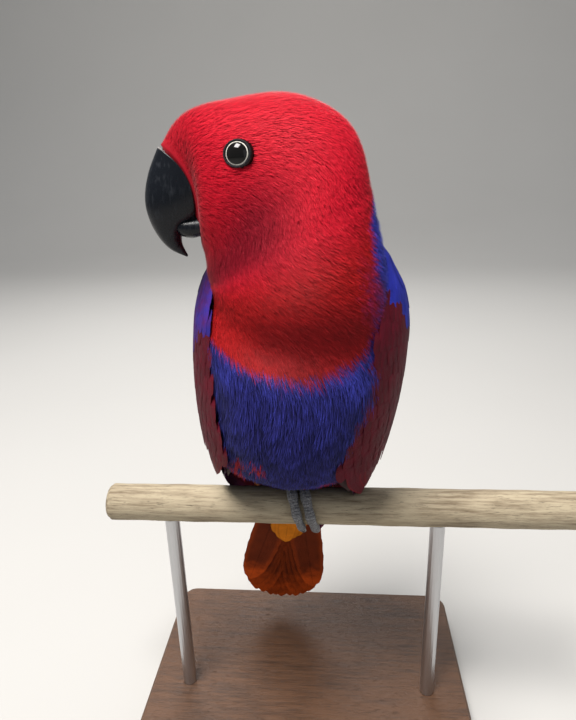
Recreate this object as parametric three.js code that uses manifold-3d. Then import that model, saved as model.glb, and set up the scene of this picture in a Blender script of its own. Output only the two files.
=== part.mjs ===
// An eclectus parrot hen resting on one foot, on a cut length of dowel held over a plain stand.
// Millimetres, +Z up. The bird faces -Y, its left side is +X, and its head is turned to its right.
// Every shape is laid out about the perch: the perch's axis runs along X through 0, 0, 0,
// and the whole group is lifted so that the stand's underside lies at height 0.
import * as THREE from "three";
import { mergeVertices } from "three/addons/utils/BufferGeometryUtils.js";
import Module from "manifold-3d";

const wasm = await Module();
wasm.setup();

// Stand and perch
const PERCH_RADIUS = 10;
const PERCH_LEFT = -105;
const PERCH_RIGHT = 150;
const PERCH_CHAMFER = 1.5;
const PERCH_SIDES = 28;
const BASE_SIZE = [190, 150, 12];
const BASE_CENTRE_Y = 6;
const BASE_CORNER = 10;
const BASE_EDGE = 1.5;
const ROD_RADIUS = 4;
const ROD_OFFSET = 72;
const TAIL_CLEARANCE = 9;

// Bird
const GAP = 0.3;
const HEAD_TURN = 78;
const BODY_LEAN = 5;
const EYE_RADIUS = 6.4;
const EYE_PLACE = [16.5, 179.5];
const EYE_SUNK = 4.4;
const LID_RADIUS = 5.1;
const LID_THICKNESS = 1.15;
const RING_SIDES = 26;
const BILL_BOW = 5.5;
const BOW_FADE = 1.6;
const VANE_THICKNESS = 0.6;
const TAIL_TIP_DROP = 119;

const BASE_TOP = -TAIL_TIP_DROP - TAIL_CLEARANCE;
const FLOOR = BASE_TOP - BASE_SIZE[2];

const rad = THREE.MathUtils.degToRad;
const mix = THREE.MathUtils.lerp;
const vec = (x, y, z) => new THREE.Vector3(x, y, z);
const smooth = (x) => THREE.MathUtils.smoothstep(x, 0, 1);
const range = (count) => Array.from({ length: count }, (_, i) => i);
const shares = (count) => range(count).map((i) => i / (count - 1));

// Solids

// A closed geometry as a manifold, turned the right way out.
function solidOf(points, faces) {
  const geometry = new THREE.BufferGeometry().setFromPoints(points);
  geometry.setIndex(faces);
  const merged = mergeVertices(geometry, 1e-4);
  const build = (index) =>
    new wasm.Manifold(
      new wasm.Mesh({
        numProp: 3,
        vertProperties: merged.attributes.position.array,
        triVerts: new Uint32Array(index),
      }),
    );
  const index = Array.from(merged.index.array);
  const kept = range(index.length / 3)
    .map((i) => index.slice(3 * i, 3 * i + 3))
    .filter(([a, b, c]) => a !== b && b !== c && a !== c);
  const made = build(kept.flat());
  return made.volume() > 0 ? made : build(kept.map(([a, b, c]) => [a, c, b]).flat());
}

// A skin over rings of points, closed at each end by a fan about the ring's middle.
function loft(rings) {
  const sides = rings[0].length;
  const middle = (ring) =>
    ring.reduce((sum, p) => sum.add(p), vec(0, 0, 0)).divideScalar(sides);
  const points = rings.flat();
  const first = points.push(middle(rings[0])) - 1;
  const last = points.push(middle(rings.at(-1))) - 1;
  const faces = [];
  for (const k of range(sides)) {
    const next = (k + 1) % sides;
    for (const r of range(rings.length - 1)) {
      const [a, b] = [r * sides + k, r * sides + next];
      faces.push(a, b, a + sides, b, b + sides, a + sides);
    }
    const end = (rings.length - 1) * sides;
    faces.push(first, next, k, last, end + k, end + next);
  }
  return solidOf(points, faces);
}

// A tube of circular rings along a path, with its own radius at each point.
function tube(path, radii, sides) {
  const rings = path.map((p, i) => {
    const along = path[Math.min(i + 1, path.length - 1)]
      .clone()
      .sub(path[Math.max(i - 1, 0)])
      .normalize();
    const across = vec(1, 0, 0).addScaledVector(along, -along.x).normalize();
    const third = along.clone().cross(across);
    return range(sides).map((k) => {
      const angle = (2 * Math.PI * k) / sides;
      return p
        .clone()
        .addScaledVector(across, radii[i] * Math.cos(angle))
        .addScaledVector(third, radii[i] * Math.sin(angle));
    });
  });
  return loft(rings);
}

function ellipsoid(centre, radii, tilt = [0, 0, 0], grow = 0, detail = 3) {
  const ball = new THREE.IcosahedronGeometry(1, detail);
  ball.scale(...radii.map((r) => r + grow));
  const turn = new THREE.Matrix4().makeRotationFromEuler(
    new THREE.Euler(...tilt.map(rad)),
  );
  ball.applyMatrix4(turn).translate(...centre);
  return fromGeometry(ball);
}

function fromGeometry(geometry) {
  geometry.deleteAttribute("normal");
  geometry.deleteAttribute("uv");
  const merged = mergeVertices(geometry, 1e-4);
  const { array } = merged.attributes.position;
  const points = range(array.length / 3).map((i) => vec().fromArray(array, 3 * i));
  return solidOf(points, Array.from(merged.index.array));
}

const union = (solids) => solids.reduce((a, b) => a.add(b));
const cut = (solid, ...tools) => tools.reduce((a, b) => a.subtract(b), solid);

// The largest closed surface of a solid, so that no loose scrap stays.
const largest = (solid) =>
  solid.decompose().reduce((a, b) => (b.volume() > a.volume() ? b : a));

// Values at a place between stations, by a smooth curve through them.
function curveThrough(values, place) {
  const at = Math.min(Math.max(place, 0), values.length - 1);
  const i = Math.min(Math.floor(at), values.length - 2);
  const t = at - i;
  const v = (k) => values[Math.min(Math.max(k, 0), values.length - 1)];
  const [a, b, c, d] = [v(i - 1), v(i), v(i + 1), v(i + 2)];
  const half = 0.5 * t;
  return (
    b + half * (c - a + t * (2 * a - 5 * b + 4 * c - d + t * (3 * (b - c) + d - a)))
  );
}

// Body

// A section lies in a frame: an upright axis with a heading and a sideways lean.
const FRAMES = {
  head: { x: -8, y: -12, turn: HEAD_TURN, lean: 0 },
  neck: { x: 0, y: -10, turn: 50, lean: 1 },
  shoulders: { x: -7.5, y: -2, turn: 14, lean: 5 },
  body: { x: -7, y: 0, turn: 0, lean: BODY_LEAN },
};

function axesOf({ turn, lean }) {
  const [t, l] = [rad(turn), rad(lean)];
  const forward = vec(-Math.sin(t), -Math.cos(t), 0);
  const level = vec(Math.cos(t), -Math.sin(t), 0);
  const left = level.clone().multiplyScalar(Math.cos(l)).add(vec(0, 0, -Math.sin(l)));
  const up = level.clone().multiplyScalar(Math.sin(l)).add(vec(0, 0, Math.cos(l)));
  return { forward, left, up };
}

function placeIn(frame, ahead, height) {
  const { forward, up } = axesOf(frame);
  return vec(frame.x, frame.y, 0).addScaledVector(forward, ahead).addScaledVector(up, height);
}

// Each section runs from its throat or belly side to its crown or back side, each given as
// [ahead, height] in its frame, and has a half width. The list goes from the bill to the tail.
const STATIONS = [
  { frame: "head", belly: [32, 146], back: [45.5, 182], half: 11 },
  { frame: "head", belly: [31.8, 142.5], back: [35, 194.6], half: 16.5 },
  { frame: "head", belly: [31.5, 139], back: [16, 199.6], half: 22.5 },
  { frame: "head", belly: [31, 135.5], back: [-12, 200.5], half: 26.5 },
  { frame: "head", belly: [30.8, 131.5], back: [-34, 187.5], half: 29.5 },
  { frame: "head", belly: [30.5, 126], back: [-42.5, 161], half: 33 },
  { frame: "neck", belly: [38, 117], back: [-37, 141], half: 38 },
  { frame: "shoulders", belly: [45, 103], back: [-33, 124], half: 43 },
  { frame: "body", belly: [55, 85], back: [-37, 100], half: 44 },
  { frame: "body", belly: [51, 54], back: [-41, 66], half: 39.5 },
  { frame: "body", belly: [34, 32], back: [-42, 38], half: 35 },
  { frame: "body", belly: [9, 17], back: [-42, 11], half: 27.5 },
  { frame: "body", belly: [-16, -7], back: [-44, -13], half: 19 },
];
const NECK_FROM = 5;
const TORSO_FROM = 7;
const TORSO_TO = 11.9;

const SECTIONS = STATIONS.map(({ frame, belly, back, half }) => {
  const spot = FRAMES[frame];
  const [run, rise] = [back[0] - belly[0], back[1] - belly[1]];
  const centre = placeIn(spot, (belly[0] + back[0]) / 2, (belly[1] + back[1]) / 2);
  return {
    x: centre.x,
    y: centre.y,
    z: centre.z,
    turn: spot.turn,
    lean: spot.lean,
    pitch: Math.atan2(rise, -run),
    depth: Math.hypot(run, rise) / 2,
    half,
  };
});

const sectionAt = (place) =>
  Object.fromEntries(
    Object.keys(SECTIONS[0]).map((key) => [
      key,
      curveThrough(
        SECTIONS.map((s) => s[key]),
        place,
      ),
    ]),
  );

// How far the edge of the face lies back at the sides of the bill, most on its upper half.
const bowAt = (place, a) =>
  BILL_BOW * (1 - smooth(place / BOW_FADE)) * Math.sin(a) ** 2 * (1 - 0.45 * Math.cos(a));

// The body's surface: angle 0 is the belly line, 90 the bird's left and 180 the back line.
function bodyPoint(place, angle, grow = 0) {
  const s = sectionAt(place);
  const { forward, left, up } = axesOf(s);
  const dorsal = forward
    .clone()
    .multiplyScalar(-Math.cos(s.pitch))
    .addScaledVector(up, Math.sin(s.pitch));
  const a = rad(angle);
  return vec(s.x, s.y, s.z)
    .addScaledVector(left, (s.half + grow) * Math.sin(a))
    .addScaledVector(dorsal, -(s.depth + grow) * Math.cos(a))
    .addScaledVector(forward, -bowAt(place, a));
}

function bodyLength(from, to, steps, grow = 0) {
  return loft(
    shares(steps + 1).map((share) =>
      range(RING_SIDES).map((k) =>
        bodyPoint(mix(from, to, share), (360 * k) / RING_SIDES, grow),
      ),
    ),
  );
}

// How far along the stations a gap reaches.
const gapAt = (place) => {
  const [a, b] = [sectionAt(place), sectionAt(place + 0.01)];
  return (0.01 * GAP) / Math.hypot(a.x - b.x, a.y - b.y, a.z - b.z);
};

// The place and angle of the body's surface nearest to a point on one side of it.
function nearestOnBody(target, from, to, side) {
  let best = { distance: Infinity };
  for (const share of shares(60))
    for (const turn of shares(60)) {
      const [place, angle] = [mix(from, to, share), side * mix(10, 170, turn)];
      const distance = bodyPoint(place, angle).distanceTo(target);
      if (distance < best.distance) best = { distance, place, angle };
    }
  return best;
}

function bodyNormal(place, angle) {
  const here = bodyPoint(place, angle);
  const along = bodyPoint(place + 0.02, angle).sub(here);
  const round = bodyPoint(place, angle + 1).sub(here);
  return along.cross(round).normalize().negate();
}

// Eyes and lids

function eyeOf(side) {
  const { forward, left, up } = axesOf(FRAMES.head);
  const aim = placeIn(FRAMES.head, ...EYE_PLACE).addScaledVector(left, side * 26);
  const spot = nearestOnBody(aim, 1, 4, side);
  const skin = bodyPoint(spot.place, spot.angle);
  const out = bodyNormal(spot.place, spot.angle);
  if (out.dot(left) * side < 0) out.negate();
  out.addScaledVector(forward, 0.12).addScaledVector(up, -0.1).normalize();
  return { skin, out, centre: skin.clone().addScaledVector(out, -EYE_SUNK) };
}

const eyeBall = ({ centre }, grow = 0) =>
  ellipsoid(centre.toArray(), [EYE_RADIUS, EYE_RADIUS, EYE_RADIUS], [0, 0, 0], grow, 3);

function lidRing({ skin, out }) {
  const ring = new THREE.TorusGeometry(LID_RADIUS, LID_THICKNESS, 5, 16);
  const facing = new THREE.Quaternion().setFromUnitVectors(vec(0, 0, 1), out);
  ring.applyQuaternion(facing).translate(...skin.toArray());
  return fromGeometry(ring);
}

// Bill

// Sections of the upper bill from the feathers to the hooked tip, in the head's frame:
// the edge that bites, the ridge in front, and the half width.
const UPPER_BILL = [
  { bite: [33.4, 151.5], ridge: [46.3, 181.6], half: 10.2 },
  { bite: [35.4, 150.5], ridge: [51, 171.8], half: 9.8 },
  { bite: [37.4, 149.6], ridge: [53.4, 162], half: 8.8 },
  { bite: [38.9, 148], ridge: [52.6, 153.6], half: 7.3 },
  { bite: [39.8, 145.4], ridge: [49.4, 145.8], half: 5.2 },
  { bite: [39.7, 142], ridge: [44.9, 140.4], half: 2.9 },
  { bite: [37.9, 137.6], ridge: [38.4, 136.9], half: 0.5 },
];
const LOWER_BILL = [
  { bite: [32.2, 145.4], ridge: [34.8, 154.5], half: 8.8 },
  { bite: [35.6, 144.9], ridge: [37.6, 154.2], half: 8.4 },
  { bite: [39.4, 145.8], ridge: [41, 153.4], half: 7.2 },
  { bite: [41.6, 148.2], ridge: [42.6, 152.2], half: 5.2 },
];
const BILL_SIDES = 14;

function billPart(list, steps, grow = 0) {
  const { forward, left } = axesOf(FRAMES.head);
  const read = (pick, place) => curveThrough(list.map(pick), place);
  return loft(
    shares(steps + 1).map((share) => {
      const place = share * (list.length - 1);
      const bite = placeIn(
        FRAMES.head,
        read((s) => s.bite[0], place),
        read((s) => s.bite[1], place),
      );
      const ridge = placeIn(
        FRAMES.head,
        read((s) => s.ridge[0], place),
        read((s) => s.ridge[1], place),
      );
      const half = read((s) => s.half, place) + grow;
      const reach = ridge.clone().sub(bite).multiplyScalar(0.5);
      const depth = reach.length();
      reach.multiplyScalar((depth + grow) / depth);
      const centre = bite.add(ridge).multiplyScalar(0.5);
      return range(BILL_SIDES).map((k) => {
        const angle = (2 * Math.PI * k) / BILL_SIDES;
        const flat = Math.sign(Math.sin(angle)) * Math.abs(Math.sin(angle)) ** 0.8;
        return centre
          .clone()
          .addScaledVector(left, half * flat)
          .addScaledVector(reach, Math.cos(angle))
          .addScaledVector(forward, -bowAt(place, Math.PI - angle));
      });
    }),
  );
}

// The room that a half of the bill needs in the face, with the gap kept behind its root too.
function billRoom(list, steps) {
  const room = billPart(list, steps, GAP);
  const back = axesOf(FRAMES.head).forward.multiplyScalar(-2 * GAP);
  return room.add(room.translate(back.toArray()));
}

// Feathers

// One vane along a path: at(share) gives its middle line's point, side and outward normal.
// Its half width swells from the quill, holds, and rounds off at the tip; tilt raises one edge.
function vane(at, { half, tilt = 0, steps = 3, quill = 0.4, point = 2.2, grow = 0 }) {
  const rings = shares(steps + 1).map((even) => {
    const share = even ** 0.7;
    const { middle, side, out, wide = 1 } = at(share);
    const swell = mix(quill, 1, smooth(share / 0.35));
    const round = Math.sqrt(Math.max(0.04, 1 - share ** (2.2 * point)));
    const reach = half * swell * round * wide + grow;
    const corner = (across, lift) =>
      middle
        .clone()
        .addScaledVector(side, across * reach)
        .addScaledVector(out, tilt * across * reach + lift);
    const under = -VANE_THICKNESS - grow;
    return [corner(-1, grow), corner(1, grow), corner(1, under), corner(-1, under)];
  });
  return plate(rings);
}

// A thin plate over rings of four points, its upper and lower faces split alike.
function plate(rings) {
  const points = rings.flat();
  const faces = [];
  const quad = (a, b, c, d) => faces.push(a, b, c, a, c, d);
  for (const r of range(rings.length - 1)) {
    const [i, j] = [4 * r, 4 * r + 4];
    quad(i, i + 1, j + 1, j);
    quad(i + 1, i + 2, j + 2, j + 1);
    faces.push(i + 3, j + 2, i + 2, i + 3, j + 3, j + 2);
    quad(i + 3, i, j, j + 3);
  }
  const end = 4 * (rings.length - 1);
  faces.push(0, 2, 1, 0, 3, 2, end, end + 1, end + 2, end, end + 2, end + 3);
  return solidOf(points, faces);
}

// Wings

// The folded wings lie on a cloak about the body: level sections in the body's frame, each with
// the height, the middle's distance behind the body's axis, a half width and depths both ways.
const CLOAK = [
  { up: 152, mid: -4, half: 30, front: 20, rear: 27, lead: 92, spine: 134 },
  { up: 138, mid: -3, half: 37, front: 27, rear: 31, lead: 76, spine: 138 },
  { up: 122, mid: -2, half: 46.5, front: 37, rear: 36, lead: 59, spine: 142 },
  { up: 104, mid: -1, half: 50.5, front: 47, rear: 42, lead: 51, spine: 150 },
  { up: 70, mid: 0, half: 50, front: 50, rear: 46, lead: 47, spine: 162 },
  { up: 34, mid: 2, half: 45, front: 43, rear: 47, lead: 45, spine: 168 },
  { up: 6, mid: 8, half: 37.5, front: 34, rear: 42, lead: 88, spine: 171 },
  { up: -20, mid: 20, half: 28, front: 26, rear: 32, lead: 108, spine: 173 },
  { up: -45, mid: 33, half: 20, front: 18, rear: 23, lead: 122, spine: 174 },
  { up: -85, mid: 48, half: 15, front: 10, rear: 14, lead: 150, spine: 172 },
];

const CLOAK_WIDTH = 48;
const WRAP = 4;

// The cloak's values at a height, found between its sections.
function cloakAt(up) {
  let i = 0;
  while (i < CLOAK.length - 2 && up < CLOAK[i + 1].up) i += 1;
  const place = i + (CLOAK[i].up - up) / (CLOAK[i].up - CLOAK[i + 1].up);
  return Object.fromEntries(
    Object.keys(CLOAK[0]).map((key) => [
      key,
      curveThrough(
        CLOAK.map((s) => s[key]),
        place,
      ),
    ]),
  );
}

// A point of the wing: height, share from the leading edge to the spine edge, and lift.
// The left wing reaches a little further round to the front than the right one.
function wingPoint(side, up, share, lift = 0) {
  const s = cloakAt(up);
  const angle = rad(mix(s.lead - side * WRAP, s.spine, share));
  const depth = Math.cos(angle) > 0 ? s.front : s.rear;
  const across = side * (s.half + lift) * Math.sin(angle);
  const behind = s.mid - (depth + lift) * Math.cos(angle);
  const { left, up: rise } = axesOf(FRAMES.body);
  return vec(FRAMES.body.x, FRAMES.body.y + behind, 0)
    .addScaledVector(left, across)
    .addScaledVector(rise, up);
}

function wingNormal(side, up, share) {
  const here = wingPoint(side, up, share);
  const along = wingPoint(side, up - 1, share).sub(here);
  const round = wingPoint(side, up, share + 0.02).sub(here);
  return round.cross(along).normalize().multiplyScalar(side);
}

// A vane on the wing, from its root to its tip, each [height, share], with lifts off the cloak.
function wingVane(side, root, tip, lifts, shape) {
  const spot = (t) => [mix(root[0], tip[0], t), mix(root[1], tip[1], t)];
  const at = (t) => {
    const [up, share] = spot(t);
    const lift = mix(lifts[0], lifts[1], smooth(t / 0.4));
    const middle = wingPoint(side, up, share, lift);
    const out = wingNormal(side, up, share);
    const [a, b] = [spot(t - 0.02), spot(t + 0.02)];
    const along = wingPoint(side, ...b).sub(wingPoint(side, ...a)).normalize();
    const across = out.clone().cross(along).normalize().multiplyScalar(side);
    return { middle, side: across, out, wide: cloakAt(up).half / CLOAK_WIDTH };
  };
  return vane(at, shape);
}

// The wing's flesh and small feathers: a plate under the tiers, from the bend of the wing down.
function wingCore(side) {
  const [top, bottom] = [148, -12];
  const rows = 9;
  const columns = 7;
  const sheet = (lift) =>
    shares(rows).map((r) => {
      const up = mix(top, bottom, r);
      const thin = mix(1, 0.35, smooth((r - 0.45) / 0.55));
      const brow = 2.6 * (1 - smooth(r / 0.22));
      return shares(columns).map((c) => {
        const edge = Math.sin(Math.PI * mix(0.08, 0.92, c));
        const upper = -1.6 - brow - 1.4 * (1 - edge);
        const lower = -3 - 5.5 * thin * edge;
        const share = mix(0.02, 0.98, c);
        return wingPoint(side, up, share, lift ? upper : lower);
      });
    });
  const [outer, inner] = [sheet(1), sheet(0)];
  const rings = outer.map((row, r) => [...row, ...inner[r].toReversed()]);
  return loft(rings);
}

// Tiers of vanes, each a count, root and tip heights and shares across the wing, and a width.
const WING_TIERS = {
  primaries: {
    count: 5,
    root: [34, 34],
    tip: [-80, -32],
    rootShare: [0.08, 0.3],
    tipShare: [0.24, 0.5],
    half: [6.5, 7],
    lifts: [-5.6, -3.4],
    step: 0.45,
    steps: 4,
  },
  secondaries: {
    count: 6,
    root: [44, 40],
    tip: [-34, -10],
    rootShare: [0.28, 0.92],
    tipShare: [0.5, 0.9],
    half: [9, 9.5],
    lifts: [-4, -1.6],
    step: 0,
    steps: 4,
  },
  primaryCoverts: {
    count: 4,
    root: [66, 62],
    tip: [10, 22],
    rootShare: [0.07, 0.3],
    tipShare: [0.08, 0.34],
    half: [7.5, 8],
    lifts: [-3.4, -1.2],
    step: 0,
    steps: 3,
  },
  greaterCoverts: {
    count: 5,
    root: [74, 72],
    tip: [34, 36],
    rootShare: [0.32, 0.9],
    tipShare: [0.38, 0.88],
    half: [9, 9.5],
    lifts: [-3.2, -0.5],
    step: 0,
    steps: 3,
  },
  medianCoverts: {
    count: 5,
    root: [100, 98],
    tip: [66, 64],
    rootShare: [0.08, 0.88],
    tipShare: [0.08, 0.88],
    half: [10, 10],
    lifts: [-3, 0.5],
    step: 0,
    steps: 3,
  },
  shoulder: {
    count: 4,
    root: [130, 124],
    tip: [94, 82],
    rootShare: [0.1, 0.9],
    tipShare: [0.1, 0.9],
    half: [9, 9.5],
    lifts: [-3.5, 1],
    step: 0,
    steps: 3,
  },
};
const VANE_TILT = -0.15;

function wing(side) {
  const vanes = Object.values(WING_TIERS).flatMap((tier) =>
    shares(tier.count).map((t, i) =>
      wingVane(
        side,
        [mix(...tier.root, t), mix(...tier.rootShare, t)],
        [mix(...tier.tip, t), mix(...tier.tipShare, t)],
        tier.lifts.map((lift) => lift + tier.step * i),
        { half: mix(...tier.half, t), tilt: VANE_TILT, steps: tier.steps },
      ),
    ),
  );
  return union([wingCore(side), ...vanes]);
}

// Tail

const TAIL = {
  root: [-33, -12],
  tip: [-61, -118],
  swing: -5,
  feathers: 12,
  half: 10.6,
  fan: 11,
  rootSpread: 5,
  outerShorter: 19,
  layer: 0.85,
};

// The tail's root, its directions down, across and out of its back, and its length.
function tailFrame() {
  const { forward, left } = axesOf(FRAMES.body);
  const root = placeIn(FRAMES.body, ...TAIL.root);
  const tip = placeIn(FRAMES.body, ...TAIL.tip).addScaledVector(left, TAIL.swing);
  const along = tip.clone().sub(root);
  const length = along.length();
  along.divideScalar(length);
  const across = left.clone().addScaledVector(along, -left.dot(along)).normalize();
  const dorsal = across.clone().cross(along).normalize();
  if (dorsal.dot(forward) > 0) dorsal.negate();
  return { root, along, across, dorsal, length };
}

// One tail or tail covert feather: spread from -1 to 1 across the fan.
function tailVane(spread, { from, length, half, lift, fan, rise = 0, grow }) {
  const { root, along, across, dorsal } = tailFrame();
  const angle = rad(fan * spread);
  const turned = (a, b) =>
    a.clone().multiplyScalar(Math.cos(angle)).addScaledVector(b, Math.sin(angle));
  const heading = turned(along, across);
  const side = turned(across, along.clone().negate());
  const start = root
    .clone()
    .addScaledVector(along, from)
    .addScaledVector(across, TAIL.rootSpread * spread)
    .addScaledVector(dorsal, lift);
  const at = (t) => ({
    middle: start
      .clone()
      .addScaledVector(heading, length * t)
      .addScaledVector(dorsal, rise * Math.sin(Math.PI * t)),
    side,
    out: dorsal,
  });
  return vane(at, { half, tilt: 0.02 * Math.sign(spread), grow });
}

function tail(grow = 0) {
  const { root, along, length } = tailFrame();
  const core = bodyLength(TORSO_TO + gapAt(TORSO_TO), 12, 1, grow - 1);
  const middle = root.clone().addScaledVector(along, 12);
  const rump = ellipsoid(middle.toArray(), [16, 7.5, 26], [14, 0, 0], grow, 2);
  const quills = shares(TAIL.feathers).map((t) => {
    const spread = 2 * t - 1;
    const outward = Math.abs(spread);
    return tailVane(spread, {
      from: 2,
      length: length - 2 - TAIL.outerShorter * outward ** 2,
      half: TAIL.half,
      lift: 2.2 - TAIL.layer * outward * 5.5,
      fan: TAIL.fan,
      grow,
    });
  });
  const coverts = (count, size, lift, rise) =>
    shares(count).map((t) => {
      const spread = 2 * t - 1;
      return tailVane(spread * 0.75, {
        from: 8,
        length: size * (1 - 0.25 * Math.abs(spread)),
        half: 8,
        lift: lift - rise * 1.6 * Math.abs(spread),
        fan: 12,
        rise,
        grow,
      });
    });
  return union([core, rump, ...quills, ...coverts(4, 44, 6.2, 1), ...coverts(4, 48, -7.4, -1)]);
}

// Legs and feet

const LEGS = {
  left: { centre: [8, -14, 36], radii: [14, 17, 19], tilt: [-30, -8, 0] },
  right: { centre: [-20, -15, 38], radii: [13.5, 16, 17], tilt: [-30, 10, 0] },
};
const legOf = ({ centre, radii, tilt }, grow = 0) =>
  ellipsoid(centre, radii, tilt, grow, 2);

// Toes clasp a bar along X: angles run from the bar's top over its front; slant is the drift
// along the bar. Two toes go in front and two behind, the inner hind one shortest.
const TOES = {
  inner_front: { at: -4.9, slant: 7.0, from: -12, to: 128, size: 2.75 },
  outer_front: { at: 1.9, slant: 7.4, from: -12, to: 134, size: 2.85 },
  inner_back: { at: -4.6, slant: -4.5, from: 8, to: -84, size: 2.6 },
  outer_back: { at: 1.7, slant: 4.5, from: 8, to: -118, size: 2.7 },
};
const CLAW_SWEEP = 44;
const FEET = {
  left: { bar: PERCH_RADIUS, at: [-1.8, 0, 0], turn: 0, mirror: 1, curl: 1, shank: 22, spread: 1 },
  right: { bar: 4.4, at: [-20, 7, 21.6], turn: 24, mirror: -1, curl: 0.85, shank: 3, spread: 0.72 },
};

// The path of a toe or claw round the bar, as points with a radius each.
function toePath(foot, toe, fromShare, toShare, radiusAt, steps, lift) {
  return shares(steps + 1).map((t) => {
    const share = mix(fromShare, toShare, t);
    const angle = rad(mix(toe.from, toe.to, share) * foot.curl);
    const radius = radiusAt(t);
    const reach = foot.bar + lift(t, radius);
    return {
      point: vec(
        foot.mirror * (toe.at + foot.spread * toe.slant * Math.min(share, 1.15)),
        -reach * Math.sin(angle),
        reach * Math.cos(angle),
      ),
      radius,
    };
  });
}

// Puts a shape made about the bar where the foot is.
function onFoot(foot, solid) {
  return solid.rotate([foot.turn, 0, 0]).translate(foot.at);
}

function toeSolid(foot, toe) {
  const pads = (t) => toe.size * (1 - 0.24 * t) * (1 + 0.09 * Math.cos(t * 6 * Math.PI));
  const path = toePath(foot, toe, 0, 1, pads, 8, (t, radius) => radius + 1.2 * GAP);
  return tube(
    path.map((p) => p.point),
    path.map((p) => p.radius),
    7,
  );
}

function clawSolid(foot, toe) {
  const sweep = CLAW_SWEEP / Math.abs(toe.to - toe.from);
  const gap = 0.022;
  const thin = (t) => mix(1.75, 0.35, t ** 0.9);
  const path = toePath(foot, toe, 1 + gap, 1 + gap + sweep, thin, 5, (t, radius) =>
    GAP + 0.25 + radius * 1.05 + 1.3 * Math.sin(Math.PI * Math.min(1, t * 1.05)),
  );
  return tube(
    path.map((p) => p.point),
    path.map((p) => p.radius),
    6,
  );
}

function footSolid(foot) {
  const toes = Object.values(TOES).map((toe) => toeSolid(foot, toe));
  const heel = foot.bar + 3;
  const path = [
    vec(foot.mirror * -1.6, 0.5, heel - 2.2),
    vec(foot.mirror * -1.6, 0.5, heel + 1.5),
    vec(foot.mirror * -1.4, 0.5, heel + 0.45 * foot.shank),
    vec(foot.mirror * -1.2, 0.5, heel + foot.shank),
  ];
  const palm = ellipsoid([foot.mirror * -1.6, 0, foot.bar + 3.6], [7, 6, 3], [0, 0, 0], 0, 1);
  return union([tube(path, [4.6, 4.2, 3.6, 3.4], 10), palm, ...toes]);
}

// Stand and perch

function cylinderX(radius, from, to, sides, chamfer) {
  const ring = (x, r) =>
    range(sides).map((k) => {
      const angle = (2 * Math.PI * (k + 0.5)) / sides;
      return vec(x, r * Math.cos(angle), r * Math.sin(angle));
    });
  const face = radius - chamfer;
  const ends = chamfer
    ? [ring(from, face), ring(from + chamfer, radius), ring(to - chamfer, radius), ring(to, face)]
    : [ring(from, radius), ring(to, radius)];
  return loft(ends);
}

function standBase() {
  const [width, depth, height] = BASE_SIZE;
  const outline = (inset) => {
    const [x, y] = [width / 2 - BASE_CORNER, depth / 2 - BASE_CORNER];
    const r = BASE_CORNER - inset;
    return [
      [x, y, 0],
      [-x, y, 90],
      [-x, -y, 180],
      [x, -y, 270],
    ].flatMap(([cx, cy, start]) =>
      shares(6).map((t) => {
        const angle = rad(start + 90 * t);
        return [cx + r * Math.cos(angle), cy + r * Math.sin(angle)];
      }),
    );
  };
  const ring = (inset, z) =>
    outline(inset).map(([x, y]) => vec(x, y + BASE_CENTRE_Y, z));
  return loft([
    ring(0, FLOOR),
    ring(0, FLOOR + height - BASE_EDGE),
    ring(BASE_EDGE, FLOOR + height),
  ]);
}

function rodAt(x) {
  const shape = new THREE.CylinderGeometry(ROD_RADIUS, ROD_RADIUS, -BASE_TOP - GAP, 18);
  shape.rotateX(Math.PI / 2).translate(x, 0, (BASE_TOP + GAP) / 2);
  return fromGeometry(shape);
}

// The whole model

const perch = cylinderX(PERCH_RADIUS, PERCH_LEFT, PERCH_RIGHT, PERCH_SIDES, PERCH_CHAMFER);
const perchRoom = cylinderX(PERCH_RADIUS + GAP, PERCH_LEFT - 5, PERCH_RIGHT + 5, PERCH_SIDES, 0);

const eyes = { left: eyeOf(1), right: eyeOf(-1) };
const sides = ["left", "right"];
const upperBill = billPart(UPPER_BILL, 12);
const lowerBill = largest(cut(billPart(LOWER_BILL, 4), billPart(UPPER_BILL, 12, GAP)));

const headGap = gapAt(NECK_FROM);
const head = cut(
  union([bodyLength(0, NECK_FROM, 16), ...sides.map((s) => lidRing(eyes[s]))]),
  ...sides.map((s) => eyeBall(eyes[s], GAP)),
  billRoom(UPPER_BILL, 12),
  billRoom(LOWER_BILL, 4),
);
const neck = bodyLength(NECK_FROM + headGap, TORSO_FROM, 6);

const feet = Object.fromEntries(
  sides.map((s) => [s, cut(onFoot(FEET[s], footSolid(FEET[s])), perchRoom)]),
);

// The room that the feet need in the plumage: a groove over the perch and a way for the shank
// on the standing side, and a hollow round the drawn-up foot.
const [standing, drawnUp] = [FEET.left, FEET.right];
const shankX = standing.at[0] - 1.4;
const groove = cylinderX(PERCH_RADIUS + 6.6, standing.at[0] - 12, standing.at[0] + 13.5, 24, 0);
const shankWay = tube([vec(shankX, 0.5, 8), vec(shankX, 0.5, 40)], [5, 5], 16);
const fistRoom = ellipsoid(drawnUp.at, [14, 14, 15], [0, 0, 0], 0, 2);
const plumageCuts = [perchRoom, groove, shankWay, fistRoom];

const legs = Object.fromEntries(
  sides.map((s) => [s, largest(cut(legOf(LEGS[s]), ...plumageCuts))]),
);
legs.right = largest(cut(legs.right, legOf(LEGS.left, GAP)));

const torso = largest(
  cut(
    bodyLength(TORSO_FROM + gapAt(TORSO_FROM), TORSO_TO, 13),
    ...plumageCuts,
    legOf(LEGS.left, GAP),
    legOf(LEGS.right, GAP),
  ),
);

const torsoRoom = bodyLength(TORSO_FROM, TORSO_TO + gapAt(TORSO_TO), 13, GAP);
const bodyRooms = [
  torsoRoom,
  bodyLength(0, NECK_FROM, 16, GAP),
  bodyLength(NECK_FROM, TORSO_FROM, 6, GAP),
  legOf(LEGS.left, GAP),
  legOf(LEGS.right, GAP),
  perchRoom,
];
const tailSolid = largest(cut(tail(), perchRoom, torsoRoom));

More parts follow.
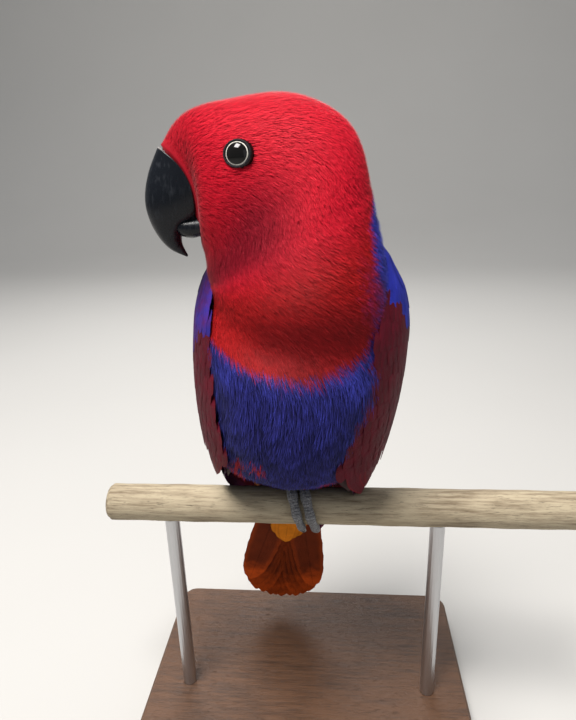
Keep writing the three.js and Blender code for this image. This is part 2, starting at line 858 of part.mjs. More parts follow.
// Where a wing's pieces lie doubled, one cut leaves the second layer, so the torso's is made twice.
const wings = Object.fromEntries(
  sides.map((s, i) => [s, largest(cut(wing(1 - 2 * i), ...bodyRooms, tail(GAP), torsoRoom))]),
);

const COLOURS = {
  red: [0xb3121f, 0.75, 0],
  violet: [0x2a2378, 0.75, 0],
  maroon: [0x5e141c, 0.7, 0],
  tail: [0x8a2c16, 0.7, 0],
  bill: [0x17191d, 0.35, 0],
  eye: [0x0a0908, 0.08, 0],
  foot: [0x6d7072, 0.7, 0],
  claw: [0x1d1c1b, 0.4, 0],
  perch: [0xa98d66, 0.85, 0],
  base: [0x4a2f1d, 0.5, 0],
  rod: [0x8c8f94, 0.3, 1],
};

function meshOf(name, solid, colour) {
  const { vertProperties, triVerts } = solid.getMesh();
  const geometry = new THREE.BufferGeometry();
  geometry.setAttribute("position", new THREE.BufferAttribute(vertProperties, 3));
  geometry.setIndex(new THREE.BufferAttribute(triVerts, 1));
  const [color, roughness, metalness] = COLOURS[colour];
  const mesh = new THREE.Mesh(
    geometry,
    new THREE.MeshStandardMaterial({ color, roughness, metalness }),
  );
  mesh.name = name;
  return mesh;
}

const parts = [
  ["head", head, "red"],
  ["neck", neck, "red"],
  ["torso", torso, "violet"],
  ["bill_upper", upperBill, "bill"],
  ["bill_lower", lowerBill, "bill"],
  ["tail", tailSolid, "tail"],
  ["perch", perch, "perch"],
  ["stand_base", standBase(), "base"],
  ["stand_rod_left", rodAt(ROD_OFFSET).subtract(perchRoom), "rod"],
  ["stand_rod_right", rodAt(-ROD_OFFSET).subtract(perchRoom), "rod"],
  ...sides.flatMap((s) => [
    [`eye_${s}`, eyeBall(eyes[s]), "eye"],
    [`wing_${s}`, wings[s], "maroon"],
    [`leg_${s}`, legs[s], "violet"],
    [`foot_${s}`, feet[s], "foot"],
    ...Object.entries(TOES).map(([name, toe]) => [
      `claw_${s}_${name}`,
      onFoot(FEET[s], clawSolid(FEET[s], toe)),
      "claw",
    ]),
  ]),
];

const group = new THREE.Group();
group.position.set(0, 0, -FLOOR);
for (const part of parts) group.add(meshOf(...part));

export default group;
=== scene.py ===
"""An eclectus parrot hen on a cut perch over a plain stand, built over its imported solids.

Shapes are worked out in millimetres about the perch's axis, which runs along X, with the
bird's breast towards -Y and its left side towards +X, and are turned to metres when a mesh
is made. The body is one surface swept from the bill to the tail: a place along it, counted
in stations, and an angle round it, 0 at the belly line, 90 at the left and 180 at the back.
"""

import math

import bpy
import numpy as np
from bpy.props import (
    FloatProperty,
    FloatVectorProperty,
    IntProperty,
    PointerProperty,
)
from mathutils import Matrix


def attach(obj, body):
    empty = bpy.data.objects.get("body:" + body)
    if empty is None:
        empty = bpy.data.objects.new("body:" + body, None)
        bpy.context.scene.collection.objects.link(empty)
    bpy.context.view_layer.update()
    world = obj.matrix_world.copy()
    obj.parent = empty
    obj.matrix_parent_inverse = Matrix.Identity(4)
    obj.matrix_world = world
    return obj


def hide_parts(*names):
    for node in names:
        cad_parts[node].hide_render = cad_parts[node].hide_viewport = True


bl_info = {
    "name": "Perched Parrot",
    "version": (1, 0, 0),
    "blender": (4, 5, 0),
    "location": "3D View > Sidebar > Parrot",
    "description": "Builds a perched eclectus parrot hen from computed surfaces",
    "category": "Add Mesh",
}

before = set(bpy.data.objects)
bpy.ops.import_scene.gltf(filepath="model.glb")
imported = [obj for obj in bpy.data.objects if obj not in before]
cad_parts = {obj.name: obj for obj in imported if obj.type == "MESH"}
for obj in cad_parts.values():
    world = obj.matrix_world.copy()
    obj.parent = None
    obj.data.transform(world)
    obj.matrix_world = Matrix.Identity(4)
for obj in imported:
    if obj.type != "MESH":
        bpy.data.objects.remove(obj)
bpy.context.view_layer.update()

LIFT = 140.0
SIDES = {"left": 1.0, "right": -1.0}
PERCH_RADIUS = 10.0
PERCH_ENDS = (-105.0, 150.0)


# Sizes and colours


def size(label, text, value):
    """A length that the user can change, in metres."""
    return FloatProperty(name=label, description=text, default=value, unit="LENGTH")


def colour(label, text, value):
    """A colour that the user can change, in linear red, green and blue."""
    return FloatVectorProperty(
        name=label, description=text, default=value, subtype="COLOR", size=3, min=0, max=1
    )


class PlumageColours(bpy.types.PropertyGroup):
    """Colours of the feathers."""

    crown: colour("Crown", "Red of the head", (0.62, 0.006, 0.024))
    # Painted shade: this wine red darkens the face below the eye, away from the light above.
    cheek: colour("Cheek", "Wine red of the cheek", (0.12, 0.003, 0.012))
    bib: colour("Bib", "Bright red of the throat and breast", (0.36, 0.005, 0.006))
    # Painted shade: the dark red laid on the breast's left side.
    shade: colour("Shaded bib", "Dark red of the breast's left side", (0.11, 0.003, 0.004))
    belly: colour("Belly", "Violet blue of the belly", (0.0125, 0.0115, 0.088))
    # Partly the belly feathers' own blue edges and partly painted highlight near the bib.
    edge: colour("Feather edge", "Bright blue of the belly feathers' edges", (0.05, 0.06, 0.45))
    mantle: colour("Mantle", "Blue of the collar and shoulders", (0.022, 0.03, 0.34))
    back: colour("Back", "Maroon of the back and wings", (0.09, 0.004, 0.0125))
    flight: colour(
        "Flight feathers", "Violet of the long feathers' outer webs", (0.05, 0.014, 0.07)
    )
    vent: colour("Undertail", "Orange yellow of the undertail coverts", (0.62, 0.19, 0.012))
    tail: colour("Tail", "Red brown of the tail", (0.125, 0.02, 0.006))
    tip: colour("Tail tip", "Orange of the tail's tip", (0.5, 0.07, 0.009))


class CoatSizes(bpy.types.PropertyGroup):
    """Sizes of the small feathers."""

    depth: size("Depth", "How far the skin lies inside the solids", 0.0022)
    face: size("Face spacing", "Space between feathers on the head", 0.0008)
    neck: size("Neck spacing", "Space between feathers on the neck and bib", 0.00112)
    body: size("Body spacing", "Space between feathers on the belly and back", 0.0017)
    seed: IntProperty(name="Seed", description="Seed of the feathers' scatter", default=7)


class HeadColours(bpy.types.PropertyGroup):
    """Colours of the bill and the eyes."""

    bill: colour("Bill", "Blue black of the bill", (0.004, 0.0052, 0.0078))
    worn: colour("Worn bill", "Grey of the bill's scuffed edges", (0.045, 0.05, 0.06))
    iris: colour("Iris", "Pale iris ring", (0.66, 0.63, 0.56))
    lid: colour("Lid", "Dark grey of the bare lid", (0.011, 0.010, 0.012))


class FootColours(bpy.types.PropertyGroup):
    """Colours of the feet."""

    scale: colour("Scale", "Pale grey of the toes' scales", (0.24, 0.24, 0.25))
    crease: colour("Crease", "Darker grey between the scales", (0.06, 0.058, 0.06))
    claw: colour("Claw", "Dark horn of the claws", (0.018, 0.016, 0.016))


class WoodColours(bpy.types.PropertyGroup):
    """Colours of the perch and the stand."""

    pale: colour("Pale grain", "Weathered early wood of the perch", (0.39, 0.325, 0.22))
    dark: colour("Dark grain", "Darker late wood of the perch", (0.17, 0.125, 0.075))
    board: colour("Board", "Stained wood of the base", (0.10, 0.045, 0.02))
    floor: colour("Floor", "Pale studio floor", (0.46, 0.45, 0.43))


GROUPS = {
    "parrot_plumage": PlumageColours,
    "parrot_coat": CoatSizes,
    "parrot_head": HeadColours,
    "parrot_feet": FootColours,
    "parrot_wood": WoodColours,
}


# The body's surface

# Upright frames that the sections stand in: x, y, and the degrees that each turns to the
# bird's right and leans.
FRAMES = {
    "head": (-8.0, -12.0, 78.0, 0.0),
    "neck": (0.0, -10.0, 50.0, 1.0),
    "shoulders": (-7.5, -2.0, 14.0, 5.0),
    "body": (-7.0, 0.0, 0.0, 5.0),
}
# Each section: frame, distance ahead and height of its belly and of its back, half width.
STATIONS = [
    ("head", (32, 146), (45.5, 182), 11),
    ("head", (31.8, 142.5), (35, 194.6), 16.5),
    ("head", (31.5, 139), (16, 199.6), 22.5),
    ("head", (31, 135.5), (-12, 200.5), 26.5),
    ("head", (30.8, 131.5), (-34, 187.5), 29.5),
    ("head", (30.5, 126), (-42.5, 161), 33),
    ("neck", (38, 117), (-37, 141), 38),
    ("shoulders", (45, 103), (-33, 124), 43),
    ("body", (55, 85), (-37, 100), 44),
    ("body", (51, 54), (-41, 66), 39.5),
    ("body", (34, 32), (-42, 38), 35),
    ("body", (9, 17), (-42, 11), 27.5),
    ("body", (-16, -7), (-44, -13), 19),
]
LAST = len(STATIONS) - 1
# How far back the face's edge is drawn beside the bill, and the stations that this fades over.
BILL_BOW = 5.5
BOW_FADE = 1.6


def axes_of(turn, lean):
    """Forward, left and up directions of a frame turned to the right and leaning left."""
    t, l = np.radians(turn), np.radians(lean)
    zero = np.zeros_like(t)
    forward = np.stack([-np.sin(t), -np.cos(t), zero], -1)
    level = np.stack([np.cos(t), -np.sin(t), zero], -1)
    rise = np.stack([zero, zero, zero + 1], -1)
    cos, sin = np.cos(l)[..., None], np.sin(l)[..., None]
    return forward, level * cos - rise * sin, level * sin + rise * cos


def frame_axes(name):
    """The forward, left and up directions of a named frame."""
    _, _, turn, lean = FRAMES[name]
    return axes_of(np.array(turn), np.array(lean))


def place_in(name, ahead, height):
    """A point given by its distance ahead and its height in a named frame."""
    forward, _, up = frame_axes(name)
    ahead, height = np.asarray(ahead, float)[..., None], np.asarray(height, float)[..., None]
    return np.array([*FRAMES[name][:2], 0.0]) + forward * ahead + up * height


def section(entry):
    """A station's centre, turn, lean, pitch, depth and half width."""
    name, belly, back, half = entry
    run, rise = back[0] - belly[0], back[1] - belly[1]
    centre = place_in(name, (belly[0] + back[0]) / 2, (belly[1] + back[1]) / 2)
    _, _, turn, lean = FRAMES[name]
    return [*centre, turn, lean, math.atan2(rise, -run), math.hypot(run, rise) / 2, half]


SECTIONS = np.array([section(entry) for entry in STATIONS])


def curve_through(values, place):
    """Values between stations, by a cubic whose slope at each station is half the step across."""
    count = len(values)
    at = np.clip(place, 0, count - 1)
    i = np.minimum(at.astype(int), count - 2)
    t = (at - i)[..., None]
    a, b, c, d = (values[np.clip(i + k, 0, count - 1)] for k in (-1, 0, 1, 2))
    return b + 0.5 * t * (c - a + t * (2 * a - 5 * b + 4 * c - d + t * (3 * (b - c) + d - a)))


def bow_at(place, a):
    """How far the face's edge lies back beside the bill: bow * sin ** 2 * (1 - 0.45 * cos)."""
    return BILL_BOW * (1 - smooth(place / BOW_FADE)) * np.sin(a) ** 2 * (1 - 0.45 * np.cos(a))


def body(place, angle, grow=0.0):
    """The body's point: centre + left * half width * sin - dorsal * depth * cos of the angle.

    Beside the bill it is drawn back by the bow.
    """
    place, angle, grow = np.broadcast_arrays(
        np.asarray(place, float), np.asarray(angle, float), np.asarray(grow, float)
    )
    s = curve_through(SECTIONS, place)
    forward, left, up = axes_of(s[..., 3], s[..., 4])
    pitch = s[..., 5, None]
    dorsal = up * np.sin(pitch) - forward * np.cos(pitch)
    a = np.radians(angle)
    across = ((s[..., 7] + grow) * np.sin(a))[..., None]
    deep = ((s[..., 6] + grow) * np.cos(a))[..., None]
    return s[..., :3] + left * across - dorsal * deep - forward * bow_at(place, a)[..., None]


def unit(vectors):
    """Vectors over their own lengths."""
    length = np.linalg.norm(vectors, axis=-1, keepdims=True)
    return vectors / np.maximum(length, 1e-9)


def body_normal(place, angle):
    """The outward normal, from small steps along and round the body."""
    here = body(place, angle)
    along = body(np.asarray(place) + 0.02, angle) - here
    around = body(place, np.asarray(angle) + 1.0) - here
    return unit(np.cross(along, around))


def smooth(x):
    """A step from 0 to 1 that starts and ends level: x ** 2 * (3 - 2 * x)."""
    x = np.clip(x, 0, 1)
    return x * x * (3 - 2 * x)


def mix(a, b, t):
    """a where t is 0 and b where it is 1, straight between."""
    return a + (b - a) * t


def circle(count):
    """Even steps of angle once round, in radians."""
    return np.linspace(0, 2 * np.pi, count, endpoint=False)


def circled(angle, across, over):
    """across * cos + over * sin of an angle."""
    return np.cos(angle)[..., None] * across + np.sin(angle)[..., None] * over


# Meshes


def grid_faces(rows, columns, closed=False, turned=False):
    """Quads of a grid of points, and each corner's place in the unwrap, both from 0 to 1.

    A closed grid's columns wrap round. The faces look along columns x rows, or against it if
    turned.
    """
    cells = columns if closed else columns - 1
    r, c = np.meshgrid(np.arange(rows - 1), np.arange(cells), indexing="ij")
    order = [0, 3, 2, 1] if turned else [0, 1, 2, 3]
    corner_r = np.stack([r, r, r + 1, r + 1], -1).reshape(-1, 4)[:, order]
    corner_c = np.stack([c, c + 1, c + 1, c], -1).reshape(-1, 4)[:, order]
    uv = np.stack([corner_c / cells, corner_r / (rows - 1)], -1)
    return corner_r * columns + corner_c % columns, uv


def new_mesh(name, points, faces, corner_uv=None, point_uv=None, values=None):
    """A mesh of points in millimetres about the perch, lifted on to the stand, in metres."""
    mesh = bpy.data.meshes.new(name)
    metres = (points.reshape(-1, 3) + [0, 0, LIFT]) * 0.001
    mesh.vertices.add(len(metres))
    mesh.vertices.foreach_set("co", metres.astype(np.float32).ravel())
    mesh.loops.add(faces.size)
    mesh.loops.foreach_set("vertex_index", faces.astype(np.int32).ravel())
    mesh.polygons.add(len(faces))
    starts = np.arange(len(faces), dtype=np.int32) * faces.shape[1]
    mesh.polygons.foreach_set("loop_start", starts)
    if point_uv is not None:
        corner_uv = point_uv.reshape(-1, 2)[faces.ravel()]
    if corner_uv is not None:
        layer = mesh.uv_layers.new(name="OFBake")
        layer.uv.foreach_set("vector", corner_uv.astype(np.float32).ravel())
    for key, data in (values or {}).items():
        attribute = mesh.attributes.new(key, "FLOAT", "POINT")
        attribute.data.foreach_set("value", data.astype(np.float32).ravel())
    mesh.update(calc_edges=True)
    mesh.polygons.foreach_set("use_smooth", np.ones(len(faces), dtype=bool))
    return mesh


def add_piece(name, mesh, material, nodes=()):
    """Puts a mesh in the scene as a piece that rides on the root and stands for CAD nodes."""
    mesh.materials.append(material)
    piece = bpy.data.objects.new(name, mesh)
    bpy.context.scene.collection.objects.link(piece)
    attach(piece, "root")
    if nodes:
        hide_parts(*nodes)
    return piece


def closed_loft(rings, turned=False):
    """A closed grid of rings, each end drawn in to its middle: points, quads and unwrap."""
    first, last = rings[:1], rings[-1:]
    caps = [np.broadcast_to(end.mean(1, keepdims=True), end.shape) for end in (first, last)]
    full = np.concatenate([caps[0], rings, caps[1]])
    return full, *grid_faces(len(full), full.shape[1], closed=True, turned=turned)


def join(parts):
    """Joins (points, faces, values, uv) parts into one, with the faces' numbers moved up."""
    points = [p[0].reshape(-1, 3) for p in parts]
    starts = np.cumsum([0] + [len(p) for p in points[:-1]])
    faces = [p[1] + start for p, start in zip(parts, starts)]
    values = {key: np.concatenate([p[2][key].ravel() for p in parts]) for key in parts[0][2]}
    uv = np.concatenate([p[3].reshape(-1, 2) for p in parts])
    return np.concatenate(points), np.concatenate(faces), values, uv


# Shader arithmetic


class Term:
    """A socket or number in shader arithmetic; each operation adds one Math node."""

    def __init__(self, graph, socket):
        self.graph, self.socket = graph, socket

    def math(self, operation, *others, first=None):
        """A Math node on this term and others, or on another first value and this term."""
        node = self.graph.tree.nodes.new("ShaderNodeMath")
        node.operation = operation
        for entry, value in zip(node.inputs, (first if first is not None else self, *others)):
            self.graph.join(value, entry)
        return Term(self.graph, node.outputs[0])

    def __add__(self, other):
        return self.math("ADD", other)

    def __sub__(self, other):
        return self.math("SUBTRACT", other)

    def __mul__(self, other):
        return self.math("MULTIPLY", other)

    def __pow__(self, other):
        return self.math("POWER", other)

    def __abs__(self):
        return self.math("ABSOLUTE")

    def __rsub__(self, other):
        return self.math("SUBTRACT", self, first=other)

    __radd__ = __add__
    __rmul__ = __mul__

    def sin(self):
        return self.math("SINE")

    def cos(self):
        return self.math("COSINE")

    def ramp(self, low, high):
        """0 below low and 1 above high, with a smooth rise between."""
        node = self.graph.node(
            "ShaderNodeMapRange",
            {"interpolation_type": "SMOOTHSTEP", "clamp": True},
            {"Value": self, "From Min": low, "From Max": high},
        )
        return Term(self.graph, node.outputs["Result"])


class Graph:
    """A material's node tree about one Principled shader."""

    def __init__(self, name, **constants):
        self.material = bpy.data.materials.new(name)
        self.material.use_nodes = True
        self.tree = self.material.node_tree
        self.shader = self.tree.nodes["Principled BSDF"]
        for key, value in constants.items():
            self.shader.inputs[key.replace("_", " ")].default_value = value

    def join(self, value, entry):
        """Links a socket to an input, or sets the input to a number or colour."""
        if isinstance(value, Term):
            value = value.socket
        if isinstance(value, bpy.types.NodeSocket):
            self.tree.links.new(value, entry)
        elif entry.type == "RGBA":
            entry.default_value = (*tuple(value)[:3], 1.0)
        else:
            entry.default_value = value

    def node(self, kind, settings=None, inputs=None):
        """A node of a type, with its settings first and then its inputs' values or links."""
        node = self.tree.nodes.new(kind)
        for key, value in (settings or {}).items():
            setattr(node, key, value)
        for key, value in (inputs or {}).items():
            self.join(value, node.inputs[key])
        return node

    def mix(self, a, b, factor):
        """Colour a where the factor is 0 and b where it is 1."""
        node = self.node("ShaderNodeMix", {"data_type": "RGBA"})
        self.join(factor, node.inputs[0])
        self.join(a, node.inputs[6])
        self.join(b, node.inputs[7])
        return node.outputs[2]

    def scaled(self, tint, amount):
        """A colour times a number."""
        node = self.node("ShaderNodeVectorMath", {"operation": "SCALE"})
        self.join(tint, node.inputs[0])
        self.join(amount, node.inputs["Scale"])
        return node.outputs[0]

    def attribute(self, name):
        """A number kept on the mesh's points."""
        node = self.node("ShaderNodeAttribute", {"attribute_name": name})
        return Term(self, node.outputs["Fac"])

    def split(self, vector):
        """The three parts of a vector."""
        node = self.node("ShaderNodeSeparateXYZ", inputs={0: vector})
        return [Term(self, out) for out in node.outputs]

    def uv(self):
        """The place in the piece's unwrap."""
        return self.node("ShaderNodeUVMap", {"uv_map": "OFBake"}).outputs[0]

    def place(self, *stretch):
        """The object's own coordinates, in metres, stretched along each axis."""
        here = self.node("ShaderNodeTexCoord").outputs["Object"]
        if not stretch:
            return here
        node = self.node("ShaderNodeVectorMath", {"operation": "MULTIPLY"})
        self.join(here, node.inputs[0])
        node.inputs[1].default_value = stretch
        return node.outputs[0]

    def noise(self, vector, scale, detail=4.0, roughness=0.55):
        """Cloudy noise about 0.5."""
        node = self.node(
            "ShaderNodeTexNoise",
            inputs={"Vector": vector, "Scale": scale, "Detail": detail, "Roughness": roughness},
        )
        return Term(self, node.outputs[0])

    def spots(self, vector, scale):
        """The distance to the nearest of many scattered points."""
        node = self.node("ShaderNodeTexVoronoi", inputs={"Vector": vector, "Scale": scale})
        return Term(self, node.outputs["Distance"])

    def bump(self, height, strength, distance):
        """Raises the surface's shading by a height."""
        node = self.node(
            "ShaderNodeBump", inputs={"Height": height, "Strength": strength, "Distance": distance}
        )
        self.tree.links.new(node.outputs[0], self.shader.inputs["Normal"])

    def paint(self, **sockets):
        """Links values that vary over the surface to the shader."""
        for key, value in sockets.items():
            self.join(value, self.shader.inputs[key.replace("_", " ")])
        return self.material


def settings(name):
    """One group of the scene's sizes and colours."""
    return getattr(bpy.context.scene, name)


# Plumage material

# The bib's lower line, in stations: first + second * cos(angle) - third * abs(cos(angle)).
BIB_LINE = (6.4, 1.25, 0.33)
# The colour of the painted highlight on the red feathers' lightest tips.
LIT_RED = (0.80, 0.10, 0.12)


def bib_line(angle):
    """The bib's lower line at an angle round the body, in stations."""
    facing = np.cos(np.radians(angle))
    return BIB_LINE[0] + BIB_LINE[1] * facing - BIB_LINE[2] * np.abs(facing)


def plumage(name, coat):
    """Markings by angle and station read from the unwrap, so that skin and coat agree.

    Red runs from the bill to the bib's line, with painted shade below the eye and on the left of
    the breast; a blue collar and belly follow, maroon lies along the back, and orange yellow under
    the tail.
    """
    tints = settings("parrot_plumage")
    graph = Graph(name, Sheen_Weight=0.06, Sheen_Roughness=0.4, Specular_IOR_Level=0.14)
    across, down, _ = graph.split(graph.uv())
    turn = across * (2 * math.pi)
    station = down * float(LAST)
    facing = turn.cos()
    wander = graph.noise(graph.place(), 60.0, 3.0) - 0.5
    fine = graph.noise(graph.place(), 420.0, 3.0)
    mingle = (1.0 - abs(facing)).ramp(0.55, 1.0) * turn.sin().ramp(0.0, 0.5)
    line = BIB_LINE[0] + facing * BIB_LINE[1] - abs(facing) * BIB_LINE[2] + wander * 0.22
    past = station - line
    sharp = past.ramp(-0.03, 0.05)
    blend = (past + (fine - 0.5) * 0.8).ramp(-0.45, 0.45)
    below = sharp + (blend - sharp) * mingle
    # Painted shade: the face below the eye darkens to wine red, away from the light above.
    cheek = station.ramp(1.6, 3.6) * (1.0 - station.ramp(4.2, 5.6)) * facing.ramp(-0.35, 0.4)
    red = graph.mix(tints.crown, tints.cheek, cheek * 0.75)
    red = graph.mix(red, tints.bib, station.ramp(4.6, 5.8))
    # Painted shade: the breast's left side darkens to the shaded bib's red.
    shaded = (turn.sin() + wander).ramp(-0.45, 0.35) * station.ramp(5.4, 6.6)
    red = graph.mix(red, tints.shade, shaded * facing.ramp(-0.1, 0.5) * 0.62)
    behind = 1.0 - facing.ramp(-0.45, -0.2)
    blue = graph.mix(tints.belly, tints.mantle, behind)
    maroon = behind * (station + wander * 0.3).ramp(6.9, 7.3)
    lower = graph.mix(blue, tints.back, maroon)
    under = (station + wander * 0.4).ramp(11.0, 11.35) * facing.ramp(-0.1, 0.2)
    lower = graph.mix(lower, tints.vent, under)
    tint = graph.mix(red, lower, below)
    if not coat:
        # The skin shows the markings dimmed to a third or a half, as painted shade in the gaps
        # between feathers.
        return graph.paint(Base_Color=graph.scaled(tint, 0.35 + fine * 0.2))
    along, tone = graph.attribute("along"), graph.attribute("tone")
    # The belly feathers' tips take the edge blue, partly their own blue edges and partly painted
    # highlight, laid on most near the bib and on the left side.
    edge_and_highlight = below * (1.0 - maroon) * (1.0 - under) * along.ramp(0.5, 1.0)
    upper = 1.0 - (station - turn.sin() * 0.5).ramp(7.4, 8.6)
    tint = graph.mix(tint, tints.edge, edge_and_highlight * (0.06 + tone ** 2.0 * 0.4 + upper * tone * 0.5))
    ruddy = graph.attribute("ruddy") * along.ramp(0.25, 0.6)
    tint = graph.mix(tint, tints.bib, ruddy)
    # Painted highlight: the lightest red tips turn pinker, most on the head.
    light = (1.0 - below) * tone.ramp(0.72, 1.0) * along.ramp(0.4, 1.0)
    head = 1.0 - station.ramp(4.2, 5.6)
    tint = graph.mix(tint, LIT_RED, light * (0.08 + head * 0.2))
    strands = (0.46 + tone * 0.84) + head * (0.24 - tone * 0.34)
    shade = (0.22 + along ** 0.8) * strands
    return graph.paint(Base_Color=graph.scaled(tint, shade), Roughness=0.75 - along * 0.15)


# The eyes' places, which the coat leaves bare

# The eye's distance ahead and height in the head's frame, the ball's radius, how deep its
# middle lies under the skin, and the radius of the part that the lid leaves open.
EYE_AT = (16.5, 179.5)
EYE_RADIUS = 6.4
EYE_SUNK = 4.4
EYE_OPENING = 4.6
# The radius of the lid's ring, and that of the roll that it is made of.
LID_RADIUS = 4.95
LID_ROLL = 0.42
BARE_ROUND_EYE = 5.2


def eye_of(side):
    """The skin point nearest to the eye's place, and the eye's outward direction."""
    forward, left, up = frame_axes("head")
    aim = place_in("head", *EYE_AT) + left * side * 26
    place, angle = np.meshgrid(np.linspace(1, 4, 61), side * np.linspace(10, 170, 61))
    points = body(place, angle)
    best = np.argmin(np.linalg.norm(points - aim, axis=-1))
    skin = points.reshape(-1, 3)[best]
    out = body_normal(place.ravel()[best], angle.ravel()[best])
    return skin, unit(out + forward * 0.12 - up * 0.1)


# Coat

BANDS_PER_STATION = 24
# Where the folded wings cover the body and nothing grows: the station that this starts at, its
# front edge in degrees before and after another station, and its rear edge.
COVERED_FROM = 7.7
COVERED_STEP = 9.3
COVERED_FRONT = (80, 92)
COVERED_BACK = 150


def scatter(rng, start, end, spacing):
    """Roots spaced evenly over the body between two stations.

    Thin bands are cut along the body. Each gets its area over the spacing squared in roots,
    spread round it by the inverse of the area summed round the band, with some jitter.
    """
    bands = int((end - start) * BANDS_PER_STATION)
    angles = np.linspace(-180, 180, 145)
    roots = []
    for low in np.linspace(start, end, bands + 1)[:-1]:
        high = low + (end - start) / bands
        near, far = body(low, angles), body(high, angles)
        width = np.linalg.norm(np.diff(near, axis=0), axis=1)
        length = np.linalg.norm(far - near, axis=1)
        area = width * (length[1:] + length[:-1]) / 2
        total = np.concatenate([[0], np.cumsum(area)])
        count = rng.poisson(total[-1] / spacing**2)
        shares = (np.arange(count) + rng.uniform(0, 1, count)) / max(count, 1) * total[-1]
        place = rng.uniform(low, high, count)
        roots.append(np.stack([place, np.interp(shares, total, angles)], -1))
    return np.concatenate(roots)


# Places in the coat as station, angle, spread in stations, spread in degrees: feathers with
# red tips, feathers with bright tips, and the flank's that stand out by a lift.
RUDDY = ((9.7, -42, 0.3, 6), (9.2, -37, 0.2, 4), (9.15, -21, 0.2, 4), (10.0, 34, 0.3, 16))
BRIGHT = ((8.3, 19, 0.16, 4), (7.5, 38, 0.4, 12), (7.6, -40, 0.3, 10))
FLANK = ((9.55, -46, 0.5, 13),)
FLANK_LIFT = 4.5
# A blade starts at base - sink and ends at base + lift over the body's surface.
TUFT_BASE = -1.2
TUFT_SINK = 0.8
# The share of the unwrap that one feather's blades spread over.
TUFT_PATCH = 0.003


def nearness(places, place, angle):
    """The largest of exp(-(station away / spread) ** 2 - (angle away / spread) ** 2)."""
    away = [((place - p) / dp) ** 2 + ((angle - a) / da) ** 2 for p, a, dp, da in places]
    return np.exp(-np.min(away, axis=0))


def clumps(place, angle):
    """Rises and hollows of the belly's fluff: a product of two bent sines, from station 7.4 on."""
    across = np.sin(np.radians(angle * 19) + 2.2 * np.sin(place * 5.1))
    down = np.sin(place * 9.5 + 1.7 * np.sin(np.radians(angle * 5.3)))
    return across * down * smooth((place - 7.4) / 0.6)


def tufts(rng, roots, lengths, width, blades, spread, lift, rows):
    """Feathers of a few narrow blades that fan from a root and lie along the body.

    A feather's length changes smoothly between two stations, and a cosine of the angle adds
    to it at the belly. A blade's middle line runs towards the tail for its length, drifting
    sideways by its share of the spread; its half width is the width times
    v ** 0.15 * (1 - v) ** 0.6; it leaves the surface by base - sink + (sink + lift) * v ** 0.8,
    where v is the share along it. The flank's feathers stand further out, and clumps raise and
    lower the belly's.
    """
    count = len(roots)
    place, angle = roots[:, 0], roots[:, 1]
    turned = (angle + 180) % 360 - 180
    clump, flank = clumps(place, turned), nearness(FLANK, place, turned)
    step = 0.01
    here = body(place, angle)
    per_place = np.linalg.norm(body(place + step, angle) - here, axis=1) / step
    per_angle = np.linalg.norm(body(place, angle + 1) - here, axis=1)
    fan = np.linspace(-1, 1, blades)[None, :] + rng.uniform(-0.22, 0.22, (count, blades))
    short, grown, begin, over, belly = lengths
    length = mix(short, grown, smooth((place - begin) / over)) + belly * np.cos(np.radians(angle))
    reach = length * rng.uniform(0.82, 1.15, count)
    reach = reach[:, None] * (1 - 0.2 * fan**2) * rng.uniform(0.85, 1.1, (count, blades))
    yaw = rng.normal(0, 0.10, count)[:, None]
    raised = rng.uniform(0.4, 1.3, (count, blades)) * lift * (1 + 0.5 * clump[:, None])
    raised = raised + FLANK_LIFT * flank[:, None]
    ruddy = nearness(RUDDY, place, turned) > rng.uniform(0.25, 0.75, count)
    v = np.concatenate([np.repeat(np.arange(rows) / rows, 2), [1.0]])
    edge = np.concatenate([np.tile([-1.0, 1.0], rows), [0.0]])
    half = width * np.maximum(v, 0.03) ** 0.15 * np.maximum(1 - v, 0) ** 0.6
    drift = spread * fan[..., None] * (0.3 + 0.7 * v) + (yaw * reach)[..., None] * v
    side = drift + edge * half
    ahead = reach[..., None] * v
    wide = np.maximum(per_angle, 0.05)[:, None, None]
    long = np.maximum(per_place, 2.5)[:, None, None]
    new_angle = angle[:, None, None] + np.clip(side / wide, -40, 40)
    new_place = place[:, None, None] + ahead / long
    rise = TUFT_BASE - TUFT_SINK + (TUFT_SINK + raised[..., None]) * v**0.8
    points = body(np.clip(new_place, 0, LAST), new_angle, rise)
    corners = 2 * rows + 1
    pattern = [
        triangle
        for r in range(0, 2 * rows - 2, 2)
        for triangle in ((r, r + 3, r + 1), (r, r + 2, r + 3))
    ]
    pattern.append((2 * rows - 2, 2 * rows, 2 * rows - 1))
    starts = np.arange(count * blades)[:, None, None] * corners
    faces = (starts + np.array(pattern)[None]).reshape(-1, 3)
    full = (count, blades, corners)
    tone = rng.uniform(0, 1, (count, 1, 1)) * 0.45 + rng.uniform(0, 1, (count, blades, 1)) * 0.55
    # Painted light: feathers on the clumps' rises are lighter and those in the hollows darker.
    tone = tone + 0.22 * clump[:, None, None]
    tone = np.maximum(np.clip(tone, 0, 1), nearness(BRIGHT, place, turned)[:, None, None])
    values = {
        "ruddy": np.broadcast_to(ruddy[:, None, None].astype(float), full),
        "along": np.broadcast_to(v, full),
        "tone": np.broadcast_to(tone, full),
    }
    u = (angle / 360.0 % 1.0)[:, None, None] + TUFT_PATCH * (fan[..., None] * 0.3 + edge * 0.1)
    w = (place / LAST)[:, None, None] + TUFT_PATCH * (v - 0.5)
    uv = np.stack(np.broadcast_arrays(np.clip(u, 0, 1), np.clip(w, 0, 1)), -1)
    return points, faces, values, uv


def clear_of_eyes(roots, distance):
    """Which roots lie further than a distance from both eyes."""
    points = body(roots[:, 0], roots[:, 1])
    keep = np.ones(len(roots), dtype=bool)
    for side in SIDES.values():
        skin, _ = eye_of(side)
        keep &= np.linalg.norm(points - skin, axis=1) > distance
    return keep


